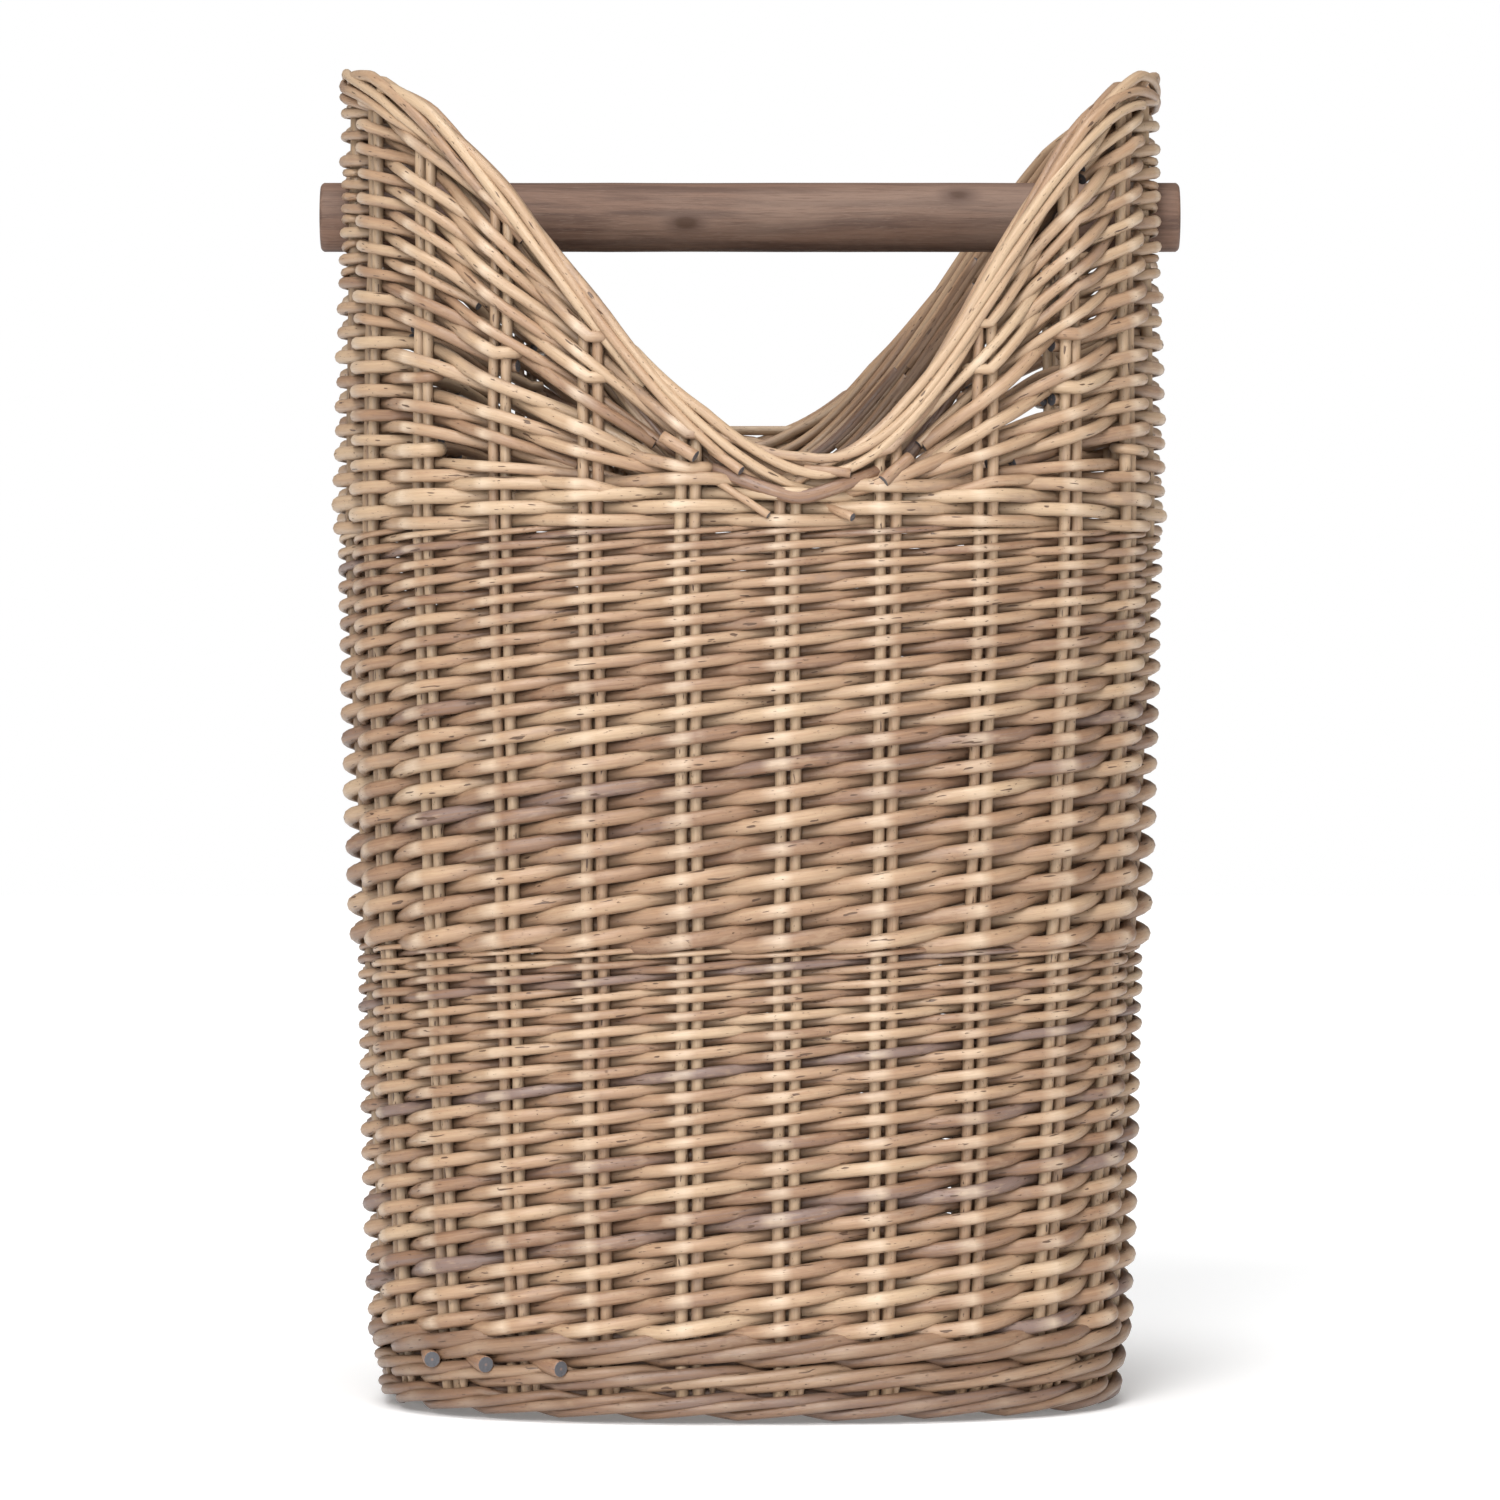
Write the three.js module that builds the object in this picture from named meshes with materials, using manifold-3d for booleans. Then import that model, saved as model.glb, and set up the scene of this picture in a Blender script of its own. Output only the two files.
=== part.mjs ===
// Tall oval wicker log basket with a wooden pole handle through its two raised ends.
// Millimetres, +Z up, X along the pole, -Y to the front, z = 0 on the floor under the middle of the basket.
//
// The wall is willow: pairs of upright stakes, with rods woven in front of one pair and behind the next.
// A band of weaving is modelled as the solid wall that its rods fill, with a channel for each pair of stakes.
import * as THREE from "three";
import { mergeVertices } from "three/addons/utils/BufferGeometryUtils.js";
import Module from "manifold-3d";

// Plan of the stake line where the basket is widest: a squared-off oval.
const HALF_LENGTH = 207;
const HALF_DEPTH = 158;
const SQUARENESS = 2.4; // 2 is an ellipse, and more is squarer
const STAKE_PAIRS = 24;

// Willow.
const STAKE_DIAMETER = 5.8;
const PAIR_WIDTH = 11.8; // two stakes side by side, as wide as they stand along the wall
const WALL = 18; // a rod outside the stakes, the stakes, and a rod inside them

// Heights of what the wall is built of, from the floor up.
const FOOT_BORDER_HEIGHT = 16;
const WALE_HEIGHT = 14;
const LOWER_BAND_HEIGHT = 194;
const MIDDLE_BAND_HEIGHT = 210;
const EAR_HEIGHT = 241; // from the middle band to the tips of the raised ends
const RIM_BORDER_HEIGHT = 20;
const NOTCH_RISE_FRONT = 37; // from the middle band to the rim at the bottom of the notch
const NOTCH_RISE_BACK = 62;
const NOTCH_SHIFT_FRONT = 30; // how far the front notch sits off the middle
const NOTCH_BEND = 0.7; // 0 is a straight-sided notch, and 1 is a full S on each side

// How far the wall stands in from the widest plan at each joint between its bands.
const FLOOR_INSET = 24;
const FOOT_INSET = 19;
const LOWER_INSET = 10;
const TIP_INSET = 3;

// Pole handle.
const POLE_RADIUS = 18;
const POLE_CHAMFER = 1.5;
const POLE_OVERHANG = 9; // past the wall at each end
const POLE_BELOW_TIP = 75; // the pole's axis, down from the tips of the raised ends
const POLE_SIDES = 40;
const EYE_RIM = 4.5; // of weaving left under the pole, above the upper band
const EYE_SIDE = 1.5; // of weaving between the pole and the stakes beside it

// Base.
const BASE_THICKNESS = 16;
const BASE_CLEAR_OF_FLOOR = 22;
const LONG_STICK_DIAMETER = 5;
const LONG_STICKS = 3;
const SHORT_STICK_DIAMETER = 10;
const SHORT_STICKS = 7;
const STICK_SIDES = 8;

const CLEARANCE = 0.35; // between pieces that touch
const OUTLINE_POINTS = 2 * STAKE_PAIRS;
const NOTCH_POINTS = 12; // along each side of a notch
const REACH = 400; // cutters reach this far past what they cut

const floorOfBands = FOOT_BORDER_HEIGHT + 2 * WALE_HEIGHT;
const topOfLowerBand = floorOfBands + LOWER_BAND_HEIGHT;
const topOfMiddleBand = topOfLowerBand + MIDDLE_BAND_HEIGHT;
const tipHeight = topOfMiddleBand + EAR_HEIGHT;
const poleHeight = tipHeight - POLE_BELOW_TIP;
const topOfUpperBand = poleHeight - POLE_RADIUS - EYE_RIM;

const wasm = await Module();
wasm.setup();

// ---- The plan and the lean of the wall ----

class StakeLine extends THREE.Curve {
  getPoint(t) {
    const [c, s] = [Math.cos(2 * Math.PI * t), Math.sin(2 * Math.PI * t)];
    const power = (v) => Math.sign(v) * Math.abs(v) ** (2 / SQUARENESS);
    return new THREE.Vector3(HALF_LENGTH * power(c), HALF_DEPTH * power(s), 0);
  }
}

const stakeLine = new StakeLine();
stakeLine.arcLengthDivisions = 2000;
const perimeter = stakeLine.getLength();

// Outward across the wall at a point on or near the stake line.
function outward(x, y) {
  const slope = (v, half) => (Math.sign(v) * (Math.abs(v) / half) ** (SQUARENESS - 1)) / half;
  return new THREE.Vector2(slope(x, HALF_LENGTH), slope(y, HALF_DEPTH)).normalize();
}

// The plan moved out by offset, as a closed outline of points.
function outline(offset) {
  return Array.from({ length: OUTLINE_POINTS }, (_, i) => {
    const p = stakeLine.getPointAt(i / OUTLINE_POINTS);
    return new THREE.Vector2(p.x, p.y).addScaledVector(outward(p.x, p.y), offset);
  });
}

const leanJoints = [
  [0, FLOOR_INSET],
  [floorOfBands, FOOT_INSET],
  [topOfLowerBand, LOWER_INSET],
  [topOfMiddleBand, 0],
  [tipHeight, TIP_INSET],
];

function insetAt(z) {
  const above = leanJoints.findIndex(([height]) => height >= z);
  if (above <= 0) return leanJoints[above < 0 ? leanJoints.length - 1 : 0][1];
  const [[z0, inset0], [z1, inset1]] = [leanJoints[above - 1], leanJoints[above]];
  return inset0 + ((z - z0) / (z1 - z0)) * (inset1 - inset0);
}

// Everything in the wall is made upright, and then leans with it.
function lean(geometry) {
  const at = geometry.getAttribute("position");
  for (let i = 0; i < at.count; i++) {
    const [x, y, z] = [at.getX(i), at.getY(i), at.getZ(i)];
    const n = outward(x, y);
    at.setXY(i, x - insetAt(z) * n.x, y - insetAt(z) * n.y);
  }
  return geometry;
}

// ---- The rim: a notch at the front and one at the back, between the raised ends ----

const notches = {
  front: { x: NOTCH_SHIFT_FRONT, z: topOfMiddleBand + NOTCH_RISE_FRONT },
  back: { x: 0, z: topOfMiddleBand + NOTCH_RISE_BACK },
};

// Height of the rim at a share of the way along x from a notch's bottom (0) to a tip (1): a line bent to an S.
function notchHeight(notch, share) {
  const bent = (1 - Math.cos(Math.PI * share)) / 2;
  return notch.z + ((1 - NOTCH_BEND) * share + NOTCH_BEND * bent) * (tipHeight - notch.z);
}

function rimHeight(x, y) {
  const notch = y < 0 ? notches.front : notches.back;
  const span = x < notch.x ? HALF_LENGTH + notch.x : HALF_LENGTH - notch.x;
  return notchHeight(notch, Math.min(1, Math.abs(x - notch.x) / span));
}

// Everything above the rim, lowered by drop. The two halves meet over the pole.
function aboveRim(drop) {
  const half = (notch, from) => {
    const line = [new THREE.Vector2(-HALF_LENGTH - REACH, tipHeight - drop)];
    for (let i = -NOTCH_POINTS; i <= NOTCH_POINTS; i++) {
      const share = Math.abs(i) / NOTCH_POINTS;
      const span = i < 0 ? HALF_LENGTH + notch.x : HALF_LENGTH - notch.x;
      line.push(new THREE.Vector2(notch.x + Math.sign(i) * share * span, notchHeight(notch, share) - drop));
    }
    line.push(new THREE.Vector2(HALF_LENGTH + REACH, tipHeight - drop));
    line.push(new THREE.Vector2(HALF_LENGTH + REACH, tipHeight + REACH));
    line.push(new THREE.Vector2(-HALF_LENGTH - REACH, tipHeight + REACH));
    const cutter = new THREE.ExtrudeGeometry(new THREE.Shape(line), { depth: REACH, bevelEnabled: false });
    return solid(cutter.rotateX(Math.PI / 2).translate(0, from, 0));
  };
  return half(notches.front, 0).add(half(notches.back, REACH));
}

// ---- Solids ----

function solid(geometry) {
  const bare = geometry.index ? geometry.toNonIndexed() : geometry.clone();
  bare.deleteAttribute("normal");
  bare.deleteAttribute("uv");
  const merged = mergeVertices(bare, 1e-3);
  return new wasm.Manifold(
    new wasm.Mesh({
      numProp: 3,
      vertProperties: new Float32Array(merged.getAttribute("position").array),
      triVerts: new Uint32Array(merged.index.array),
    }),
  );
}

function geometryOf(made) {
  const { vertProperties, triVerts } = made.getMesh();
  const geometry = new THREE.BufferGeometry();
  geometry.setAttribute("position", new THREE.BufferAttribute(vertProperties, 3));
  geometry.setIndex(new THREE.BufferAttribute(triVerts, 1));
  return geometry;
}

function upright(shape, low, high) {
  const geometry = new THREE.ExtrudeGeometry(shape, { depth: high - low, bevelEnabled: false });
  return solid(geometry.translate(0, 0, low));
}

// The wall between two heights, before it leans.
function wall(low, high) {
  const shape = new THREE.Shape(outline(WALL / 2));
  shape.holes.push(new THREE.Path(outline(-WALL / 2)));
  return upright(shape, low + CLEARANCE / 2, high - CLEARANCE / 2);
}

// ---- Stakes ----

// Where each pair stands round the plan, as a share of it. The pairs beside the pole are kept off it.
const besidePole = (POLE_RADIUS + 2 * CLEARANCE + EYE_SIDE + PAIR_WIDTH / 2) / perimeter;
const stakeShares = Array.from({ length: STAKE_PAIRS }, (_, i) => {
  const even = (i + 0.5) / STAKE_PAIRS;
  const ends = [0, 0.5, 1];
  const end = ends.find((e) => Math.abs(even - e) < besidePole);
  return end === undefined ? even : end + Math.sign(even - end) * besidePole;
});

// The section of a pair: two round stakes side by side, along x.
function pairShape(gap) {
  const radius = STAKE_DIAMETER / 2 + gap;
  const middle = (PAIR_WIDTH - STAKE_DIAMETER) / 2;
  const corner = Math.PI / 4;
  const points = [-corner, 0, corner].map(
    (a) => new THREE.Vector2(middle + radius * Math.cos(a), radius * Math.sin(a)),
  );
  points.push(new THREE.Vector2(0, radius * 0.55));
  const others = points.map((p) => new THREE.Vector2(-p.x, -p.y));
  return new THREE.Shape([...points, ...others]);
}

// A pair's outline turned along the wall and moved to its place.
function pairInPlace(share, gap) {
  const p = stakeLine.getPointAt(share);
  const along = Math.atan2(outward(p.x, p.y).y, outward(p.x, p.y).x) + Math.PI / 2;
  const points = pairShape(gap).getPoints();
  return points.map((q) =>
    q.rotateAround(new THREE.Vector2(), along).add(new THREE.Vector2(p.x, p.y)),
  );
}

// The stakes end under the rim's border, which is turned down from their tips.
function stakeTop(share) {
  const ends = pairInPlace(share, 0).map((p) => rimHeight(p.x, p.y));
  return Math.min(...ends) - RIM_BORDER_HEIGHT - CLEARANCE;
}

const stakeFoot = FOOT_BORDER_HEIGHT + CLEARANCE;

function stakePair(share) {
  const joints = leanJoints.map(([height]) => height);
  const top = stakeTop(share);
  const levels = [stakeFoot, ...joints.filter((z) => z > stakeFoot && z < top - 1), top];
  const geometry = new THREE.ExtrudeGeometry(new THREE.Shape(pairInPlace(share, 0)), {
    depth: levels.length - 1,
    steps: levels.length - 1,
    bevelEnabled: false,
  });
  const at = geometry.getAttribute("position");
  for (let i = 0; i < at.count; i++) at.setZ(i, levels[Math.round(at.getZ(i))]);
  return lean(geometry);
}

const stakeChannels = stakeShares
  .map((share) => upright(new THREE.Shape(pairInPlace(share, CLEARANCE)), -REACH, tipHeight + REACH))
  .reduce((all, channel) => all.add(channel));

// ---- The woven bands, the ears and the borders ----

const belowRimBorder = aboveRim(RIM_BORDER_HEIGHT + CLEARANCE / 2);

function band(low, high) {
  return lean(geometryOf(wall(low, high).subtract(stakeChannels).subtract(belowRimBorder)));
}

function poleBore(radius) {
  const bore = new THREE.CylinderGeometry(radius, radius, 2 * REACH, POLE_SIDES);
  return solid(bore.rotateZ(Math.PI / 2).translate(0, 0, poleHeight));
}

// The weaving of one raised end, from just under the pole to the border. side is -1 for left and 1 for right.
function ear(side) {
  const halfSpace = new THREE.BoxGeometry(REACH, 2 * REACH, 4 * REACH).translate((side * REACH) / 2, 0, 0);
  const made = wall(topOfUpperBand, tipHeight)
    .intersect(solid(halfSpace))
    .subtract(stakeChannels)
    .subtract(belowRimBorder)
    .subtract(poleBore(POLE_RADIUS + CLEARANCE));
  return lean(geometryOf(made));
}

function rimBorder() {
  const made = wall(topOfMiddleBand, tipHeight + CLEARANCE)
    .intersect(aboveRim(RIM_BORDER_HEIGHT - CLEARANCE / 2))
    .subtract(aboveRim(0));
  return lean(geometryOf(made));
}

// ---- Base ----

const baseBottom = BASE_CLEAR_OF_FLOOR;
const baseMiddle = baseBottom + BASE_THICKNESS / 2;
const baseOffset = -WALL / 2 - insetAt(baseBottom) - CLEARANCE;
const baseHalfLength = HALF_LENGTH + baseOffset;
const baseHalfDepth = HALF_DEPTH + baseOffset;

// How far a straight stick reaches from the middle of the base to its edge, at a distance off the middle.
function reachToEdge(along, across, off) {
  return along * (1 - (off / across) ** SQUARENESS) ** (1 / SQUARENESS);
}

// A stick along x, or the hole it lies in when there is a gap round it. A hole runs out through the edge.
function stick(diameter, halfLength, gap) {
  const radius = (diameter / 2 + gap) / Math.cos(Math.PI / STICK_SIDES);
  const length = 2 * (gap > 0 ? REACH : halfLength);
  const rod = new THREE.CylinderGeometry(radius, radius, length, STICK_SIDES);
  return rod.rotateY(Math.PI / STICK_SIDES).rotateZ(Math.PI / 2);
}

const longStickPitch = LONG_STICK_DIAMETER + 1;
const longSticks = Array.from({ length: LONG_STICKS }, (_, i) => {
  const y = (i - (LONG_STICKS - 1) / 2) * longStickPitch;
  const halfLength = reachToEdge(baseHalfLength, baseHalfDepth, Math.abs(y) + LONG_STICK_DIAMETER);
  return (gap) => stick(LONG_STICK_DIAMETER, halfLength, gap).translate(0, y, baseMiddle);
});

const shortStickPitch = (1.5 * baseHalfLength) / (SHORT_STICKS - 1);
const shortSticks = Array.from({ length: SHORT_STICKS }, (_, i) => {
  const x = (i - (SHORT_STICKS - 1) / 2) * shortStickPitch;
  const halfLength = reachToEdge(baseHalfDepth, baseHalfLength, Math.abs(x) + SHORT_STICK_DIAMETER);
  return (gap) =>
    stick(SHORT_STICK_DIAMETER, halfLength, gap).rotateZ(Math.PI / 2).translate(x, 0, baseMiddle);
});

// Each short stick is split, and the long sticks run through the split.
function splitStick(shortStick) {
  const split = new THREE.BoxGeometry(
    REACH,
    LONG_STICKS * longStickPitch + 2 * CLEARANCE,
    LONG_STICK_DIAMETER + 2 * CLEARANCE,
  );
  return geometryOf(solid(shortStick(0)).subtract(solid(split.translate(0, 0, baseMiddle))));
}

function baseWeave() {
  const plate = upright(new THREE.Shape(outline(baseOffset)), baseBottom, baseBottom + BASE_THICKNESS);
  const holes = [...longSticks, ...shortSticks].map((one) => solid(one(CLEARANCE)));
  return geometryOf(holes.reduce((left, hole) => left.subtract(hole), plate));
}

// ---- Pole ----

function pole() {
  const half = HALF_LENGTH - insetAt(poleHeight) + WALL / 2 + POLE_OVERHANG;
  const profile = [
    [0, -half],
    [POLE_RADIUS - POLE_CHAMFER, -half],
    [POLE_RADIUS, -half + POLE_CHAMFER],
    [POLE_RADIUS, half - POLE_CHAMFER],
    [POLE_RADIUS - POLE_CHAMFER, half],
    [0, half],
  ].map(([r, y]) => new THREE.Vector2(r, y));
  return new THREE.LatheGeometry(profile, POLE_SIDES).rotateZ(Math.PI / 2).translate(0, 0, poleHeight);
}

// ---- Materials and assembly ----

const willow = new THREE.MeshStandardMaterial({ color: 0xb3936b, roughness: 0.62, metalness: 0 });
const paleWillow = new THREE.MeshStandardMaterial({ color: 0xc9ab80, roughness: 0.58, metalness: 0 });
const brownWillow = new THREE.MeshStandardMaterial({ color: 0x9a7755, roughness: 0.65, metalness: 0 });
const oak = new THREE.MeshStandardMaterial({ color: 0x6f5547, roughness: 0.7, metalness: 0 });

const basket = new THREE.Group();

function place(name, geometry, material) {
  const mesh = new THREE.Mesh(geometry, material);
  mesh.name = name;
  basket.add(mesh);
}

const number = (i) => String(i + 1).padStart(2, "0");
const topOfLowerWale = FOOT_BORDER_HEIGHT + WALE_HEIGHT;
const plainRing = (low, high) => lean(geometryOf(wall(low, high)));

place("pole_handle", pole(), oak);
place("foot_border", plainRing(-CLEARANCE / 2, FOOT_BORDER_HEIGHT), brownWillow);
place("foot_wale_lower", band(FOOT_BORDER_HEIGHT, topOfLowerWale), willow);
place("foot_wale_upper", band(topOfLowerWale, floorOfBands), brownWillow);
place("lower_band", band(floorOfBands, topOfLowerBand), willow);
place("middle_band", band(topOfLowerBand, topOfMiddleBand), willow);
place("upper_band", band(topOfMiddleBand, topOfUpperBand), willow);
place("ear_weave_left", ear(-1), willow);
place("ear_weave_right", ear(1), willow);
place("rim_border", rimBorder(), willow);
place("base_weave", baseWeave(), willow);
stakeShares.forEach((share, i) => place(`stake_pair_${number(i)}`, stakePair(share), paleWillow));
longSticks.forEach((one, i) => place(`base_stick_long_${i + 1}`, one(0), brownWillow));
shortSticks.forEach((one, i) => place(`base_stick_short_${i + 1}`, splitStick(one), brownWillow));

export default basket;
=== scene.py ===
"""Looks of a tall oval willow log basket: every rod of its wall, borders and base, and its pole handle."""

import math

import bpy
import numpy as np
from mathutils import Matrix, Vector


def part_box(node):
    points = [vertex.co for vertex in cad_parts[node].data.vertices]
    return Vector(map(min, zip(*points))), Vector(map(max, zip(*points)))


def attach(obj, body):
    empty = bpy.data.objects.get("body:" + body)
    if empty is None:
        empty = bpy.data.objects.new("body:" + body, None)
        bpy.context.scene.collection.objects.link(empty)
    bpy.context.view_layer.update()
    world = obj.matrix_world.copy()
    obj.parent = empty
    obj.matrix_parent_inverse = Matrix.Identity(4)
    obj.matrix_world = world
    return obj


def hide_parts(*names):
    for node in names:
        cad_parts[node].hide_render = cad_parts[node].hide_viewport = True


bl_info = {
    "name": "Wicker log basket",
    "version": (1, 0, 0),
    "blender": (4, 5, 0),
    "location": "3D View > Sidebar > Basket",
    "description": "Weaves an oval willow log basket with a pole handle, rod by rod",
    "category": "Object",
}

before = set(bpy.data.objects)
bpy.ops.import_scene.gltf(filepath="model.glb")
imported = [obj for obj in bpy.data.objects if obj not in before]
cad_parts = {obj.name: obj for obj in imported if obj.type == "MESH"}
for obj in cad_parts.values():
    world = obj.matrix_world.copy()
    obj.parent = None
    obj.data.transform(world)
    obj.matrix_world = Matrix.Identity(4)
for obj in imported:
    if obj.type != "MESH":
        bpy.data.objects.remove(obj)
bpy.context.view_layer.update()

MM = 0.001
BASKET_BODY = "basket"
POLE_BODY = "pole"


def top_of(node):
    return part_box(node)[1].z


def reach_of(node):
    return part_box(node)[1].x


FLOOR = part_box("foot_border")[0].z
FOOT_TOP = top_of("foot_border")
LOWER_WALE_TOP = top_of("foot_wale_lower")
UPPER_WALE_TOP = top_of("foot_wale_upper")
LOWER_BAND_TOP = top_of("lower_band")
MIDDLE_BAND_TOP = top_of("middle_band")
TIP = top_of("rim_border")
POLE_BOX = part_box("pole_handle")
POLE_AXIS = (POLE_BOX[0].z + POLE_BOX[1].z) / 2
POLE_RADIUS = (POLE_BOX[1].z - POLE_BOX[0].z) / 2
BASE_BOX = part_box("base_weave")
STAKES = sum(name.startswith("stake_pair_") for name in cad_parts)
SHORT_STICKS = sum(name.startswith("base_stick_short_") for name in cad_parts)
LONG_STICKS = sum(name.startswith("base_stick_long_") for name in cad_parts)
# Places round the wall are counted in stake pairs, from the right middle and over the back.
LEFT_MIDDLE = STAKES / 2 - 0.5
RIGHT_MIDDLE = STAKES - 0.5
NOTCH_PAIR = STAKES * 3 // 4  # the pair that stands nearest the bottom of the front notch
PAIR_FLAT = 0.11  # a rod runs flat past a pair for this share of the way to the next
HUG = 0.86  # a rod's middle stands off the stakes by this share of its radius, since it beds in
LOOSE = 0.9  # the same for a rod that turns round a pair


# ---- Sizes and colours that a user would change ----


def length(name, default, description):
    return bpy.props.FloatProperty(
        name=name, default=default, description=description, unit="LENGTH", precision=4
    )


def number(name, default, description):
    return bpy.props.FloatProperty(name=name, default=default, description=description)


def colour(name, default, description):
    return bpy.props.FloatVectorProperty(
        name=name, default=default, description=description, subtype="COLOR", size=3, min=0, max=1
    )


class WallSizes(bpy.types.PropertyGroup):
    """The oval wall and its rim."""

    half_depth: length(
        "Half depth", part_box("middle_band")[1].y - 9 * MM, "From the middle to the stakes, front to back"
    )
    half_length: length(
        "Half length", reach_of("middle_band") - 9 * MM, "From the middle to the stakes, along the pole"
    )
    squareness: number("Squareness", 2.4, "2 is an ellipse, and more is squarer")
    notch_front: length("Front notch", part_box("rim_border")[0].z + 20 * MM, "Height of the front notch")
    notch_back: length("Back notch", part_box("rim_border")[0].z + 45 * MM, "Height of the back notch")
    notch_shift: length("Front notch shift", 30 * MM, "How far the front notch sits off the middle")
    notch_bend: number("Notch bend", 0.7, "0 is a straight-sided notch, and 1 is a full S on each side")
    stake_drift: length("Stake drift", 6 * MM, "How far the front stakes sit to the left of even spacing")


class RodSizes(bpy.types.PropertyGroup):
    """The willow rods."""

    stake: length("Stake diameter", 6.2 * MM, "Thickness of each of the two rods of a stake pair")
    stake_spacing: length("Stake spacing", 8.0 * MM, "Between the middles of the two rods of a pair")
    butt_pitch: length("Butt pitch", 15.4 * MM, "Height of two rows where the rods are thick")
    tip_pitch: length("Tip pitch", 6.8 * MM, "Height of two rows where the rods are thin")
    fullness: number("Fullness", 0.565, "Rod thickness as a share of the height of two rows")
    ear_row: length("Ear row", 6.3 * MM, "Height of a row of the raised ends at the side")
    ear_rod: length("Ear rod", 7.2 * MM, "Thickness of the lowest rods of the raised ends")
    ear_tip_rod: length("Ear tip rod", 5.4 * MM, "Thickness of the highest rods of the raised ends")
    border_rod: length("Border rod", 6.0 * MM, "Thickness of the rods of the rim's border")
    wale_rod: length("Wale rod", 7.6 * MM, "Thickness of the rods of the upper wale")
    lower_wale_rod: length("Lower wale rod", 6.2 * MM, "Thickness of the rods of the lower wale")
    foot_rod: length("Foot rod", 6.2 * MM, "Thickness of the rods of the foot's border")
    base_rod: length("Base rod", 4.4 * MM, "Thickness of the rods woven round the base")


class Colours(bpy.types.PropertyGroup):
    """Willow and pole colours."""

    honey: colour("Honey", (0.425, 0.270, 0.165), "Most of the willow")
    straw: colour("Straw", (0.56, 0.405, 0.262), "The palest rods")
    brown: colour("Brown", (0.255, 0.143, 0.084), "The darker rods")
    mauve: colour("Mauve", (0.215, 0.150, 0.130), "Rods with a grey and purple bloom")
    # The next colour is partly pale rubbing and partly a painted highlight, where a rod bends outward over a
    # stake.
    worn: colour("Wear and highlight", (0.74, 0.60, 0.45), "Where a rod is rubbed pale as it bends over a stake")
    # The next colour is painted shade, laid under the rods and where they lie deep in the weave.
    grime: colour("Painted shade", (0.105, 0.062, 0.040), "Underneath, and where a rod lies deep in the weave")
    speck: colour("Speck", (0.07, 0.035, 0.02), "Pores, splits and bud scars")
    cut: colour("Cut end", (0.085, 0.085, 0.095), "Weathered cut ends")
    pith: colour("Pith", (0.20, 0.135, 0.115), "The middle of a cut end")
    pole: colour("Pole", (0.190, 0.112, 0.079), "Stained hardwood")
    pole_dark: colour("Pole grain", (0.100, 0.058, 0.043), "Dark grain of the pole")
    pole_pale: colour("Pole bloom", (0.26, 0.178, 0.135), "Pale dusty bloom on the pole")


class StageSizes(bpy.types.PropertyGroup):
    """Camera, floor and lights."""

    distance: length("Camera distance", 3.5, "From the middle of the basket to the camera")
    eye: length("Eye height", 0.337, "Height of the camera")
    lens: number("Lens", 161.5, "Focal length in millimetres on a 36 mm sensor")
    floor: colour("Floor", (0.93, 0.93, 0.93), "The floor")


GROUPS = {
    "basket_wall": WallSizes,
    "basket_rods": RodSizes,
    "basket_colours": Colours,
    "basket_stage": StageSizes,
}


# ---- The wall: where a point on it is ----


def oval(half_length, half_depth, power, angle):
    """Points round a squarish oval. A power of 1 is an ellipse, and less is squarer."""
    cos, sin = np.cos(angle), np.sin(angle)
    return (
        half_length * np.sign(cos) * np.abs(cos) ** power,
        half_depth * np.sign(sin) * np.abs(sin) ** power,
    )


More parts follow.
